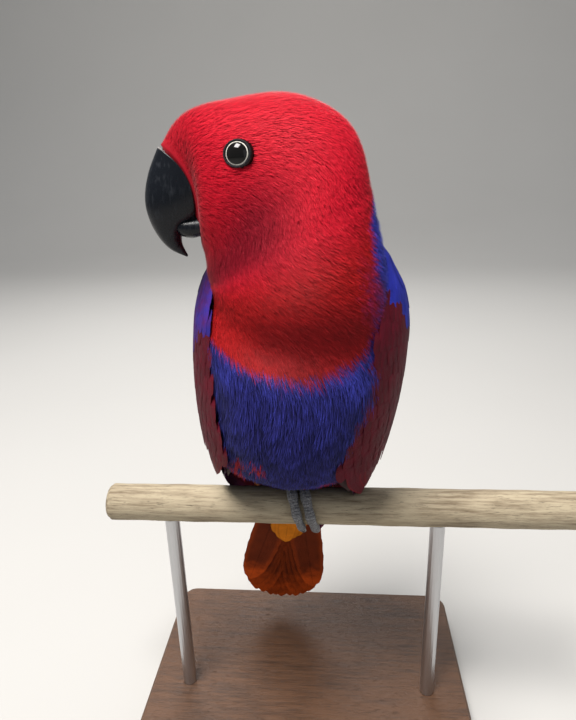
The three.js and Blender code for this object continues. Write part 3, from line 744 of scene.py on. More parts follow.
def under_wings(roots):
    """Which roots the folded wings cover."""
    away = np.abs((roots[:, 1] + 180) % 360 - 180)
    front = np.where(roots[:, 0] < COVERED_STEP, *COVERED_FRONT)
    return (roots[:, 0] > COVERED_FROM) & (away > front) & (away < COVERED_BACK)


# How long feathers grow: from and to, the station where that change starts and the stations
# that it takes, and what the belly's line adds.
FACE_LENGTHS = (2.2, 5.2, 0.0, 2.2, 0.0)
NECK_LENGTHS = (5.2, 9.0, 4.5, 2.5, 0.0)
BODY_LENGTHS = (10.5, 10.5, 0.0, 1.0, 2.0)
# Each piece of the coat: name, first and last station, spacing, lengths, half width of a
# blade, blades, their spread, lift, rows of a blade, slot.
COAT = (
    ("coat_face", 0.02, 2.4, "face", FACE_LENGTHS, 0.19, 4, 0.6, 0.9, 2, "red_plumage"),
    ("coat_head", 2.4, 4.9, "face", FACE_LENGTHS, 0.21, 4, 0.75, 1.0, 2, "red_plumage"),
    ("coat_neck", 4.8, 7.9, "neck", NECK_LENGTHS, 0.26, 5, 1.4, 1.3, 2, "red_plumage"),
    ("coat_body", 5.2, 9.4, "body", BODY_LENGTHS, 0.30, 6, 3.0, 1.6, 3, "violet_plumage"),
    ("coat_belly", 9.4, 11.9, "body", BODY_LENGTHS, 0.30, 6, 3.0, 1.9, 3, "violet_plumage"),
)


class PARROT_OT_skin(bpy.types.Operator):
    """Builds the one skin under the whole coat, inside the solids by the coat's depth"""

    bl_idname = "parrot.skin"
    bl_label = "Skin"

    def execute(self, context):
        depth = settings("parrot_coat").depth * 1000
        rows, columns = 150, 120
        place = np.linspace(0, LAST, rows)[:, None]
        angle = np.linspace(0, 360, columns, endpoint=False)[None, :]
        inside = depth * smooth(place / 0.8) + 0.2
        points = body(place, angle, -inside)
        for end in (points[:1], points[-1:]):
            end[:] = end.mean(1, keepdims=True)
        faces, uv = grid_faces(rows, columns, closed=True, turned=True)
        mesh = new_mesh("skin", points, faces, corner_uv=uv)
        nodes = ("head", "neck", "torso", "leg_left", "leg_right")
        add_piece("skin", mesh, plumage("skin", coat=False), nodes)
        return {"FINISHED"}


class PARROT_OT_coat(bpy.types.Operator):
    """Builds the small feathers in pieces from the bill to the tail"""

    bl_idname = "parrot.coat"
    bl_label = "Coat"

    def execute(self, context):
        coat = settings("parrot_coat")
        rng = np.random.default_rng(coat.seed)
        material = plumage("coat", coat=True)
        for name, start, end, spacing, *shape, slot in COAT:
            roots = scatter(rng, start, end, getattr(coat, spacing) * 1000)
            keep = clear_of_eyes(roots, BARE_ROUND_EYE) & ~under_wings(roots)
            if name == "coat_body":
                keep &= roots[:, 0] > bib_line(roots[:, 1]) - 0.1
            if name == "coat_neck":
                keep &= roots[:, 0] < bib_line(roots[:, 1]) + 0.2
            points, faces, values, uv = tufts(rng, roots[keep], *shape)
            mesh = new_mesh(name, points, faces, point_uv=uv, values=values)
            add_piece(name, mesh, material)
        return {"FINISHED"}


# Eyes


def turn_to(out):
    """Two directions square to an outward one."""
    side = unit(np.cross([0.0, 0.0, 1.0], out))
    return side, np.cross(out, side)


def eye_material():
    """Rings about the eye's own axis: a black pupil and rim, and a pale iris ring between."""
    tints = settings("parrot_head")
    graph = Graph("eye", Roughness=0.05, Specular_IOR_Level=0.28)
    ring = graph.attribute("ring")
    grain = graph.noise(graph.place(), 3000.0, 2.0) * 0.06
    iris = (ring + grain).ramp(0.89, 0.92) * (1.0 - (ring + grain).ramp(0.97, 0.99))
    return graph.paint(Base_Color=graph.mix((0.004, 0.0035, 0.003), tints.iris, iris))


def lid_material():
    """Dark bare skin in small beads, lighter between them."""
    tints = settings("parrot_head")
    graph = Graph("lid", Roughness=0.6, Specular_IOR_Level=0.12)
    beads = graph.spots(graph.place(), 1500.0)
    graph.bump(beads, 0.5, 0.0003)
    return graph.paint(Base_Color=graph.scaled(tints.lid, 0.7 + beads * 0.9))


def eyeball(centre, out):
    """A ball's points, and how far from its axis each lies, over the opening's radius.

    centre + radius * (out * cos(tip) + the direction round the axis * sin(tip)).
    """
    tip = np.linspace(0, np.pi, 48)[:, None]
    facing = circled(circle(64)[None, :], *turn_to(out))
    points = centre + EYE_RADIUS * circled(tip, out, facing)
    ring = np.where(np.cos(tip) < 0, 2.0, np.sin(tip) * EYE_RADIUS / EYE_OPENING)
    return points, np.broadcast_to(ring, points.shape[:2])


def lid_ring(skin, out):
    """The lid's roll, a rippled and slightly oval ring whose last row meets its first.

    skin + the direction round the axis * (radius + roll * cos) + out * (roll * sin + 0.2).
    """
    spin, inner = circle(72)[:, None], circle(20)[None, :]
    roll = LID_ROLL * (1 + 0.05 * np.sin(spin * 18))
    wide = LID_RADIUS * (1 + 0.03 * np.cos(2 * spin)) + roll * np.cos(inner)
    high = roll * np.sin(inner) + 0.2
    points = skin + wide[..., None] * circled(spin, *turn_to(out)) + high[..., None] * out
    return np.concatenate([points, points[:1]])


class PARROT_OT_eyes(bpy.types.Operator):
    """Builds both eyeballs and the bare ring of each lid"""

    bl_idname = "parrot.eyes"
    bl_label = "Eyes"

    def execute(self, context):
        eye, lid = eye_material(), lid_material()
        for name, side in SIDES.items():
            skin, out = eye_of(side)
            points, ring = eyeball(skin - out * EYE_SUNK, out)
            faces, uv = grid_faces(*ring.shape, closed=True, turned=True)
            mesh = new_mesh(f"eyeball_{name}", points, faces, corner_uv=uv, values={"ring": ring})
            add_piece(f"eyeball_{name}", mesh, eye, (f"eye_{name}",))
            points = lid_ring(skin, out)
            faces, uv = grid_faces(*points.shape[:2], closed=True, turned=True)
            mesh = new_mesh(f"lid_{name}", points, faces, corner_uv=uv)
            add_piece(f"lid_{name}", mesh, lid)
        return {"FINISHED"}


# Bill

# Sections of each half in the head's frame: distance ahead and height of the biting edge, the
# same of the ridge, half width.
UPPER_BILL = np.array([
    [33.4, 151.5, 46.3, 181.6, 10.2],
    [35.4, 150.5, 51, 171.8, 9.8],
    [37.4, 149.6, 53.4, 162, 8.8],
    [38.9, 148, 52.6, 153.6, 7.3],
    [39.8, 145.4, 49.4, 145.8, 5.2],
    [39.7, 142, 44.9, 140.4, 2.9],
    [37.9, 137.6, 38.4, 136.9, 0.5],
])
LOWER_BILL = np.array([
    [32.2, 145.4, 34.8, 154.5, 8.8],
    [35.6, 144.9, 37.6, 154.2, 8.4],
    [39.4, 145.8, 41, 153.4, 7.2],
    [41.6, 148.2, 42.6, 152.2, 5.2],
])


def bill_part(table, rows, columns):
    """A horn sheath: ovals between the biting edge and the ridge, a little fuller at the sides."""
    share = np.linspace(0, 1, rows)
    values = curve_through(table, share * (len(table) - 1))
    bite = place_in("head", values[:, 0], values[:, 1])
    ridge = place_in("head", values[:, 2], values[:, 3])
    forward, left, _ = frame_axes("head")
    angle = circle(columns)
    bow = bow_at(share[:, None] * (len(table) - 1), np.pi - angle[None])
    flat = np.sign(np.sin(angle)) * np.abs(np.sin(angle)) ** 0.8
    centre, reach = (bite + ridge) / 2, (ridge - bite) / 2
    across = (values[:, 4:5] * flat[None])[..., None] * left - bow[..., None] * forward
    return centre[:, None] + across + reach[:, None] * np.cos(angle)[None, :, None]


def bill_material():
    """Dark polished horn with growth lines along it and scattered scuffs."""
    tints = settings("parrot_head")
    graph = Graph("bill", Coat_Weight=0.06, Coat_Roughness=0.2, Specular_IOR_Level=0.2)
    across, down, _ = graph.split(graph.uv())
    grain = graph.noise(graph.place(1.0, 1.0, 0.25), 900.0, 5.0)
    broad = graph.noise(graph.place(), 90.0, 4.0)
    scuff = (grain * 0.55 + broad * 0.6).ramp(0.58, 0.82)
    ridge = (across * (2 * math.pi)).cos().ramp(0.86, 1.0)
    collar = (1.0 - down.ramp(0.012, 0.03)) * ridge
    tint = graph.mix(tints.bill, tints.worn, scuff * 0.35)
    tint = graph.mix(tint, (0.3, 0.27, 0.25), collar * 0.7)
    graph.bump(grain + broad * 0.5, 0.12, 0.0004)
    return graph.paint(Base_Color=tint, Roughness=0.27 + scuff * 0.25)


class PARROT_OT_bill(bpy.types.Operator):
    """Builds the upper and lower halves of the bill"""

    bl_idname = "parrot.bill"
    bl_label = "Bill"

    def execute(self, context):
        material = bill_material()
        for name, table, rows in (("upper", UPPER_BILL, 72), ("lower", LOWER_BILL, 24)):
            loft = closed_loft(bill_part(table, rows, 56), turned=True)
            mesh = new_mesh(f"horn_{name}", *loft)
            add_piece(f"horn_{name}", mesh, material, (f"bill_{name}",))
        return {"FINISHED"}


# Wings

# Sections of the surface that the folded wings lie on: height, distance behind the body's
# axis, half width, depth before and behind that, and the angles of the wing's front edge and
# of its edge by the spine, in degrees from the belly's line.
CLOAK = np.array([
    [152, -4, 30, 20, 27, 92, 134],
    [138, -3, 37, 27, 31, 76, 138],
    [122, -2, 46.5, 37, 36, 59, 142],
    [104, -1, 50.5, 47, 42, 51, 150],
    [70, 0, 50, 50, 46, 47, 162],
    [34, 2, 45, 43, 47, 45, 168],
    [6, 8, 37.5, 34, 42, 88, 171],
    [-20, 20, 28, 26, 32, 108, 173],
    [-45, 33, 20, 18, 23, 122, 174],
    [-85, 48, 15, 10, 14, 150, 172],
])
# How many degrees the left wing reaches further forward, and the right one less far.
WRAP = 4.0


def wing_point(side, up, share, lift):
    """A point of the folded wings' cloak: ovals about the body's axis, deeper behind."""
    up, share, lift = np.broadcast_arrays(*(np.asarray(x, float) for x in (up, share, lift)))
    place = np.interp(-up, -CLOAK[:, 0], np.arange(len(CLOAK)))
    s = curve_through(CLOAK, place)
    angle = np.radians(mix(s[..., 5] - side * WRAP, s[..., 6], share))
    depth = np.where(np.cos(angle) > 0, s[..., 3], s[..., 4])
    across = side * (s[..., 2] + lift) * np.sin(angle)
    behind = s[..., 1] - (depth + lift) * np.cos(angle)
    forward, left, rise = frame_axes("body")
    return (
        np.array([*FRAMES["body"][:2], 0.0])
        + left * across[..., None]
        - forward * behind[..., None]
        + rise * up[..., None]
    )


def wing_normal(side, up, share):
    """The cloak's outward normal, from small steps down and round it."""
    here = wing_point(side, up, share, 0.0)
    along = unit(wing_point(side, up - 1.0, share, 0.0) - here)
    around = wing_point(side, up, share + 0.02, 0.0) - here
    return unit(np.cross(around, along)) * side


# The margin of a vane's cell in the unwrap, and what that leaves, as shares of the cell.
CELL_MARGIN = 0.05
CELL_FILL = 1 - 2 * CELL_MARGIN


def steps_along(rows):
    """Shares along a feather, a little closer together towards its tip: even steps ** 0.85."""
    return np.linspace(0, 1, rows)[:, None] ** 0.85


def blade(rng, rows, columns, quill, ragged):
    """A feather's outline: shares along it, shares across it, and half widths over the widest.

    Half width: a swell from the quill's share, times the square root of 1 - v ** 5, with
    edges a little ragged.
    """
    v = steps_along(rows)
    x = np.linspace(-1, 1, columns)[None, :]
    swell = mix(quill, 1.0, smooth(v / 0.35)) * np.sqrt(np.maximum(1 - v**5, 0.004))
    wave = np.sin(v * rng.uniform(30, 60) + rng.uniform(0, 6))
    return v, x, swell * (1 + ragged * wave * np.abs(x)) * x


def vane_values(rng, v, x):
    """What the vanes' material reads: places along and across, and a tone for the feather."""
    along, across = np.broadcast_arrays(v, x)
    return {"along": along, "across": across, "tone": np.full(along.shape, rng.uniform(0, 1))}


def cell_uv(cell, wide, values):
    """The unwrap of a vane: its own cell of a square of cells, less a margin at each edge."""
    u = (cell % wide + CELL_MARGIN + CELL_FILL * (values["across"] + 1) / 2) / wide
    w = (cell // wide + CELL_MARGIN + CELL_FILL * values["along"]) / wide
    return np.stack([u, w], -1)


def vane_grid(middle, side, out, half, rng, rows, columns, tilt, camber):
    """A feather's blade over its middle line, lifted by tilt * x - camber * x ** 2 across it."""
    v, x, share = blade(rng, rows, columns, 0.4, 0.025)
    reach = half * share
    raise_it = tilt * reach - camber * reach**2 / half + rng.uniform(-0.15, 0.15)
    points = middle + side * reach[..., None] + out * raise_it[..., None]
    return points, vane_values(rng, v, x)


# How much lower a wing's vane lies at one edge than in its middle.
VANE_TILT = 0.2
# Each tier: kind, count, root heights, tip heights, root shares, tip shares, half widths, lifts.
WING_TIERS = (
    (1.0, 8, (40, 34), (-84, -28), (0.05, 0.30), (0.24, 0.52), (6.5, 7.5), (-6.2, -3.7)),
    (0.8, 11, (48, 40), (-38, -8), (0.20, 0.96), (0.40, 0.94), (7, 7.5), (-4.2, -1.9)),
    (0.5, 8, (70, 66), (14, 20), (0.02, 0.30), (0.05, 0.34), (5.5, 6), (-2.5, -1.1)),
    (0.5, 11, (76, 72), (30, 34), (0.26, 0.95), (0.34, 0.93), (6, 6.5), (-2.4, -0.9)),
    (0.3, 13, (92, 88), (54, 52), (0.02, 0.94), (0.03, 0.93), (5.4, 6), (-2.0, -0.6)),
    (0.3, 14, (104, 100), (72, 70), (0.02, 0.94), (0.03, 0.93), (5.2, 5.5), (-1.8, -0.4)),
    (0.2, 14, (114, 110), (86, 84), (0.02, 0.94), (0.03, 0.93), (5, 5.2), (-1.7, -0.2)),
    (0.1, 14, (122, 119), (98, 94), (0.02, 0.94), (0.03, 0.93), (4.6, 5), (-1.6, 0.0)),
    (0.1, 13, (130, 127), (108, 103), (0.03, 0.95), (0.04, 0.94), (4.4, 5), (-1.6, 0.1)),
    (0.0, 12, (138, 134), (116, 111), (0.04, 0.95), (0.04, 0.94), (4.2, 4.8), (-1.6, 0.2)),
    (0.0, 10, (145, 141), (124, 119), (0.06, 0.95), (0.05, 0.94), (4, 4.8), (-1.8, 0.3)),
)
# Small coverts on the bend of the wing: rows down it, feathers a row, share across, half width.
BEND_ROWS = (132, 46, 15)
BEND_COUNT = 9
BEND_SHARES = (-0.06, 0.30)
BEND_HALF = 3.2
# The height above which each wing's small feathers are blue, how maroon that blue is, and how
# much higher a feather counts for each share that it lies back.
BLUE_ABOVE = {1.0: (124.0, 0.0), -1.0: (103.0, 0.1)}
BLUE_SLOPE = 40.0


def wing_vane(side, root, tip, lifts, half, rng, rows, columns):
    """A vane laid round the cloak: each point's share is its middle line's plus its own offset.

    The lift runs from the root's to the tip's and falls by the tilt from edge to edge.
    """
    v, x, width = blade(rng, rows, columns, 0.45, 0.03)
    up, share = mix(root[0], tip[0], v), mix(root[1], tip[1], v)
    here, there = wing_point(side, up, share, 0), wing_point(side, up, share + 0.01, 0)
    per_share = np.linalg.norm(there - here, axis=-1) / 0.01
    offset = half * width / np.maximum(per_share, 25.0)
    lift = mix(*lifts, smooth(v / 0.4)) - VANE_TILT * x - 0.2 * x**2 + rng.uniform(-0.08, 0.08)
    return wing_point(side, up, share + offset, lift), vane_values(rng, v, x)


def flight_vane(side, root, tip, lifts, half, rng, rows, columns):
    """A long flight feather: a flat blade over its middle line on the cloak."""
    v = steps_along(rows)
    up, share = mix(root[0], tip[0], v), mix(root[1], tip[1], v)
    middle = wing_point(side, up, share, mix(*lifts, smooth(v / 0.4)))
    out = wing_normal(side, up, share)
    along = unit(np.gradient(middle[:, 0], axis=0))[:, None]
    across = unit(np.cross(out, along)) * side
    return vane_grid(middle, across, out, half, rng, rows, columns, -0.1, 0.05)


def wing_feathers(side, rng):
    """All the vanes of one wing, tier over tier, and the small coverts over its bend."""
    plan = []
    for kind, count, root, tip, root_share, tip_share, half, lifts in WING_TIERS:
        for i, t in enumerate(np.linspace(0, 1, count)):
            wobble = rng.uniform(-1, 1, 4)
            low = (mix(*tip, t) + 2.0 * wobble[0], mix(*tip_share, t) + 0.008 * wobble[1])
            raised = 0.15 * wobble[2] + (0.3 * i if kind == 1.0 else 0.0)
            pair = (lifts[0] + raised, lifts[1] + raised)
            high = (mix(*root, t), mix(*root_share, t))
            plan.append((kind, high, low, pair, mix(*half, t)))
    for row, top in enumerate(np.linspace(*BEND_ROWS)):
        for t in np.linspace(0, 1, BEND_COUNT):
            wobble = rng.uniform(-1, 1, 3)
            share = mix(*BEND_SHARES, t + 0.06 * (row % 2)) + 0.006 * wobble[0]
            high, low = (top + 5, share), (top - 7 + wobble[1], share + 0.01)
            plan.append((0.2, high, low, (-1.0, 0.5 - 0.5 * t), BEND_HALF))
    parts = []
    wide = int(math.ceil(math.sqrt(len(plan))))
    rows, columns = 18, 9
    faces, _ = grid_faces(rows, columns, turned=side > 0)
    for cell, (kind, high, low, lifts, half) in enumerate(plan):
        shape = flight_vane if kind == 1.0 else wing_vane
        points, values = shape(side, high, low, lifts, half, rng, rows, columns)
        middle = (high[0] + low[0]) / 2 + rng.uniform(-3, 3) + BLUE_SLOPE * high[1]
        if kind < 0.4 and middle > BLUE_ABOVE[side][0]:
            kind = BLUE_ABOVE[side][1]
        elif kind < 0.2:
            kind = 0.2
        values["kind"] = np.full((rows, columns), kind)
        parts.append((points, faces, values, cell_uv(cell, wide, values)))
    return join(parts)


def vane_material(name, colours):
    """Barbs slanting from the shaft as fine stripes and bump, a dark shaft line, edges a little
    darker.
    """
    tints = settings("parrot_plumage")
    graph = Graph(name, Specular_IOR_Level=0.1)
    along, across = graph.attribute("along"), graph.attribute("across")
    tone = graph.attribute("tone")
    barb = (along * 260.0 - abs(across) * 46.0).sin()
    patch = graph.noise(graph.place(), 160.0, 4.0)
    shaft = 1.0 - abs(across).ramp(0.02, 0.07)
    tint = colours(graph, tints, along, across, patch)
    tint = graph.mix(tint, graph.scaled(tint, 0.4), shaft * 0.35)
    edge = abs(across).ramp(0.8, 1.0)
    shade = (0.8 + tone * 0.3) * (0.94 + barb * 0.06) * (0.6 + patch * 0.8) * (1.0 - edge * 0.2)
    graph.bump(barb * 0.6 + shaft * 1.5, 0.25, 0.00015)
    return graph.paint(Base_Color=graph.scaled(tint, shade), Roughness=0.48 + patch * 0.2)


def wing_colours(graph, tints, along, across, patch):
    """Blue shoulders, maroon coverts with redder edges as painted highlight, violet webs on the
    long feathers.
    """
    kind = graph.attribute("kind")
    tint = graph.mix(tints.mantle, tints.back, (kind + (patch - 0.5) * 0.12).ramp(0.04, 0.16))
    long = kind.ramp(0.7, 0.9) * across.ramp(-0.4, 0.5)
    tint = graph.mix(tint, tints.flight, long * 0.7)
    # Painted highlight: the coverts' edges turn redder towards their tips.
    red = kind.ramp(0.15, 0.3) * abs(across).ramp(0.7, 1.0) * along.ramp(0.2, 0.6)
    return graph.mix(tint, tints.bib, red * 0.35)


# The plate's heights from top to foot, its shares from front to back, and the height from
# which it is sunk deeper under the vanes.
CORE_UP = (139.0, 18.0)
CORE_SHARES = (-0.03, 0.98)
CORE_SUNK_FROM = 58


def dimmed_material(name, tint, least, spread):
    """A colour dimmed and a little mottled, for what lies under the vanes; on the wing's plate the
    dimming is painted shade.
    """
    graph = Graph(name, Roughness=0.8)
    fine = graph.noise(graph.place(), 300.0, 4.0)
    return graph.paint(Base_Color=graph.scaled(tint, least + fine * spread))


def wing_core(side):
    """The plate under the tiers: an outer and an inner sheet of the cloak, joined all round.

    Both lie under the cloak, deeper at the brow and below the height that the plate is sunk
    from; the plate's thickness swells by a sine between its edges and thins downwards.
    """
    r = np.linspace(0, 1, 40)[:, None]
    c = np.linspace(0, 1, 24)[None, :]
    up, share = mix(*CORE_UP, r), mix(*CORE_SHARES, c)
    thin = mix(1.0, 0.35, smooth((r - 0.45) / 0.55))
    brow = 2.6 * (1 - smooth(r / 0.22))
    edge = np.sin(np.pi * mix(0.08, 0.92, c))
    sunk = 3.2 * smooth((CORE_SUNK_FROM - up) / 14)
    upper = wing_point(side, up, share, -2.2 - brow - 1.4 * (1 - edge) - sunk)
    lower = wing_point(side, up, share, -3.4 - 5.0 * thin * edge - sunk)
    return np.concatenate([upper, lower[:, ::-1]], 1)


class PARROT_OT_wings(bpy.types.Operator):
    """Builds each folded wing: the plate beneath and the vanes over it"""

    bl_idname = "parrot.wings"
    bl_label = "Wings"

    def execute(self, context):
        rng = np.random.default_rng(settings("parrot_coat").seed + 1)
        vanes = vane_material("wing_vanes", wing_colours)
        # Painted shade: the plate's maroon is dimmed to a tenth to three tenths under the vanes.
        plate = dimmed_material("wing_core", settings("parrot_plumage").back, 0.1, 0.2)
        for name, side in SIDES.items():
            points, faces, values, uv = wing_feathers(side, rng)
            mesh = new_mesh(f"vanes_{name}", points, faces, point_uv=uv, values=values)
            add_piece(f"vanes_{name}", mesh, vanes, (f"wing_{name}",))
            loft = closed_loft(wing_core(side), turned=side > 0)
            mesh = new_mesh(f"wing_plate_{name}", *loft)
            add_piece(f"wing_plate_{name}", mesh, plate)
        return {"FINISHED"}


# Tail

# Distance ahead and height of the tail's root and tip in the body's frame, and how far the
# tip swings to the left.
TAIL_ROOT = (-33.0, -12.0)
TAIL_TIP = (-61.0, -118.0)
TAIL_SWING = -5.0


def tail_frame():
    """The tail's root, its direction, its left side and its upper side, and its length."""
    forward, left, _ = frame_axes("body")
    root = place_in("body", *TAIL_ROOT)
    along = place_in("body", *TAIL_TIP) + left * TAIL_SWING - root
    length = float(np.linalg.norm(along))
    along = along / length
    across = unit(left - along * np.dot(left, along))
    dorsal = unit(np.cross(across, along))
    dorsal = dorsal * -np.sign(np.dot(dorsal, forward))
    return root, along, across, dorsal, length


def tail_layers(length):
    """Each layer, from the quills to the coverts over and under them.

    Kind, count, start, length, shortening to the sides, half width, lift, its fall to the
    sides, degrees of fan, bow, half the spread of the roots.
    """
    return (
        (1.0, 12, 2, length - 2, 19, 10.2, 2.2, 4.7, 11, 0, 5),
        (0.4, 7, 6, 52, 14, 7.0, 6.0, 1.0, 10, 1.2, 3.5),
        (0.4, 6, -4, 40, 10, 7.0, 7.4, 1.0, 12, 1.4, 3.5),
        (0.0, 7, 4, 35, 12, 5.8, -6.4, -1.0, 11, -1.4, 3.5),
        (0.0, 6, -2, 26, 9, 5.8, -8.2, -1.0, 13, -1.6, 3.5),
    )


def tail_feathers(rng):
    """Quills fanned about the tail's axis, with coverts over and under their roots."""
    root, along, across, dorsal, length = tail_frame()
    layers = tail_layers(length)
    cells = sum(layer[1] for layer in layers)
    wide = int(math.ceil(math.sqrt(cells)))
    rows, columns = 20, 11
    parts = []
    for kind, count, start, full, shorter, half, lift, fall, fan, rise, root_spread in layers:
        above = 1 if lift > 0 else -1
        faces, _ = grid_faces(rows, columns, turned=above < 0)
        for spread in np.linspace(-1, 1, count):
            turn = math.radians(fan * spread + rng.uniform(-0.6, 0.6))
            heading = along * math.cos(turn) + across * math.sin(turn)
            side = across * math.cos(turn) - along * math.sin(turn)
            long = full - shorter * spread**2 + rng.uniform(-1.2, 1.2)
            v = steps_along(rows)
            origin = root + along * start + across * root_spread * spread
            origin = origin + dorsal * (lift - fall * abs(spread))
            bow = (rise * np.sin(np.pi * v))[..., None] * dorsal
            middle = origin + heading * (long * v)[..., None] + bow
            tilt, camber = 0.03 * np.sign(spread), 0.04 * above
            points, values = vane_grid(
                middle, side, dorsal, half, rng, rows, columns, tilt, camber
            )
            values["kind"] = np.full((rows, columns), kind)
            parts.append((points, faces, values, cell_uv(len(parts), wide, values)))
    return join(parts)


def tail_colours(graph, tints, along, across, patch):
    """Orange yellow under the root, maroon over it, red-brown quills with orange tips."""
    kind = graph.attribute("kind")
    quill = graph.mix(tints.tail, tints.tip, (along + (patch - 0.5) * 0.2).ramp(0.72, 0.96))
    quill = graph.mix(quill, tints.tip, abs(across).ramp(0.6, 1.0) * 0.35)
    tint = graph.mix(tints.vent, tints.back, kind.ramp(0.15, 0.3))
    return graph.mix(tint, quill, kind.ramp(0.6, 0.8))


def rump_rings():
    """The flesh at the quills' roots: ovals along the tail, as the root of 1 - v ** 2.2 wide."""
    root, along, across, dorsal, _ = tail_frame()
    v = np.linspace(0, 1, 30)[:, None]
    swell = np.sqrt(np.maximum(1 - v**2.2, 0.01))
    ring = circled(circle(40)[None, :], across * 15, dorsal * 6.5) * swell[..., None]
    return root + along * (-10 + 46 * v)[..., None] + ring


class PARROT_OT_tail(bpy.types.Operator):
    """Builds the tail's quills and coverts and the flesh at their root"""

    bl_idname = "parrot.tail"
    bl_label = "Tail"

    def execute(self, context):
        rng = np.random.default_rng(settings("parrot_coat").seed + 2)
        points, faces, values, uv = tail_feathers(rng)
        mesh = new_mesh("tail_vanes", points, faces, point_uv=uv, values=values)
        material = vane_material("tail_vanes", tail_colours)
        add_piece("tail_vanes", mesh, material, ("tail",))
        mesh = new_mesh("rump", *closed_loft(rump_rings(), turned=True))
        down = dimmed_material("rump", settings("parrot_plumage").vent, 0.3, 0.4)
        add_piece("rump", mesh, down)
        return {"FINISHED"}


# Feet

# Each toe: where its root lies along the perch, how far its tip slants from there, the angles
# of its root and tip from the perch's top over its front, its radius.
TOES = {
    "inner_front": (-4.9, 7.0, -12, 128, 2.75),
    "outer_front": (1.9, 7.4, -12, 134, 2.85),
    "inner_back": (-4.6, -4.5, 8, -84, 2.6),
    "outer_back": (1.7, 4.5, 8, -118, 2.7),
}
# Degrees that a claw sweeps on round the perch, where it starts, as a share of its toe, and
# the space between it and the perch.
CLAW_SWEEP = 44.0
CLAW_ROOT = 1.022
CLAW_GAP = 0.55
# Each foot: radius that its toes close round, place, degrees turned, mirror, share of the
# toes' sweep, height of the shank, share of the toes' slant.
FEET = {
    "left": {
        "bar": 10.0, "at": (-1.8, 0, 0), "turn": 0, "mirror": 1, "curl": 1, "shank": 22, "spread": 1
    },
    "right": {
        "bar": 4.4, "at": (-20, 7, 21.6), "turn": 24, "mirror": -1,
        "curl": 0.85, "shank": 3, "spread": 0.72,
    },
}


def tube(path, radii, columns):
    """Rings of the given radii square to a path."""
    along = unit(np.gradient(path, axis=0))
    across = unit(np.array([1.0, 0, 0]) - along * along[:, :1])
    third = np.cross(along, across)
    radii = np.broadcast_to(np.asarray(radii), (len(path),))
    rings = circled(circle(columns), across[:, None], third[:, None])
    return path[:, None] + radii[:, None, None] * rings


def toe_path(foot, toe, low, high, radii, lift):
    """A toe's middle line round the bar, by angle from the bar's top over its front."""
    at, slant, start, end, _ = toe
    share = np.linspace(low, high, len(radii))
    angle = np.radians(mix(start, end, share) * foot["curl"])
    reach = foot["bar"] + lift
    x = foot["mirror"] * (at + foot["spread"] * slant * np.minimum(share, 1.15))
    return np.stack([x, -reach * np.sin(angle), reach * np.cos(angle)], -1)


def on_foot(foot, points):
    """Turns a shape made about the bar and puts it where the foot is."""
    turn = math.radians(foot["turn"])
    spin = np.array([
        [1, 0, 0],
        [0, math.cos(turn), -math.sin(turn)],
        [0, math.sin(turn), math.cos(turn)],
    ])
    return points @ spin.T + np.array(foot["at"])


def toe_part(foot, toe):
    """A toe: a tapering tube with knuckles by a cosine along it and ridges by a sine."""
    t = np.linspace(0, 1, 64)
    radii = toe[4] * (1 - 0.24 * t) * (1 + 0.09 * np.cos(t * 6 * np.pi))
    radii = radii + 0.07 * np.abs(np.sin(t * 31.0))
    return tube(toe_path(foot, toe, 0, 1, radii, 0.82 * radii), radii, 24)


def shank_part(foot):
    """The shank: an upright tube through four heights over the bar."""
    rise = np.array([-2.2, 1.5, 0.45 * foot["shank"], foot["shank"]])
    place = np.linspace(0, 3, 30)
    height = curve_through(rise[:, None], place)[:, 0] + foot["bar"] + 3
    path = np.stack([np.full(30, foot["mirror"] * -1.5), np.full(30, 0.5), height], -1)
    return tube(path, np.interp(place, [0, 1, 2, 3], [4.6, 4.2, 3.6, 3.4]), 28)


def claw_part(foot, toe):
    """A claw: a tube that narrows to a point and arches over the bar by a sine."""
    sweep = CLAW_SWEEP / abs(toe[3] - toe[2])
    t = np.linspace(0, 1, 28)
    radii = mix(1.75, 0.3, t**0.9)
    lift = CLAW_GAP + radii * 1.05 + 1.3 * np.sin(np.pi * np.minimum(1, t * 1.05))
    return tube(toe_path(foot, toe, CLAW_ROOT, CLAW_ROOT + sweep, radii, lift), radii, 16)


def foot_material():
    """Pale scales in rows across the toes, darker in the creases."""
    tints = settings("parrot_feet")
    graph = Graph("foot", Roughness=0.6)
    _, down, _ = graph.split(graph.uv())
    rings = abs((down * 70.0).sin())
    cells = graph.spots(graph.place(), 1150.0)
    patch = graph.noise(graph.place(), 200.0, 4.0)
    crease = (1.0 - rings.ramp(0.05, 0.45)) * 0.45 + cells.ramp(0.25, 0.55) * 0.6
    tint = graph.mix(tints.scale, tints.crease, crease)
    graph.bump(rings * 0.5 - cells * 0.9, 0.8, 0.0004)
    return graph.paint(Base_Color=graph.scaled(tint, 0.7 + patch * 0.6))


def claw_material():
    """Dark horn, lighter at the root."""
    tints = settings("parrot_feet")
    graph = Graph("claw", Roughness=0.35)
    _, down, _ = graph.split(graph.uv())
    grain = graph.noise(graph.place(), 700.0, 4.0)
    tint = graph.mix(graph.scaled(tints.claw, 2.2), tints.claw, down.ramp(0.0, 0.5))
    return graph.paint(Base_Color=graph.scaled(tint, 0.6 + grain * 0.8))


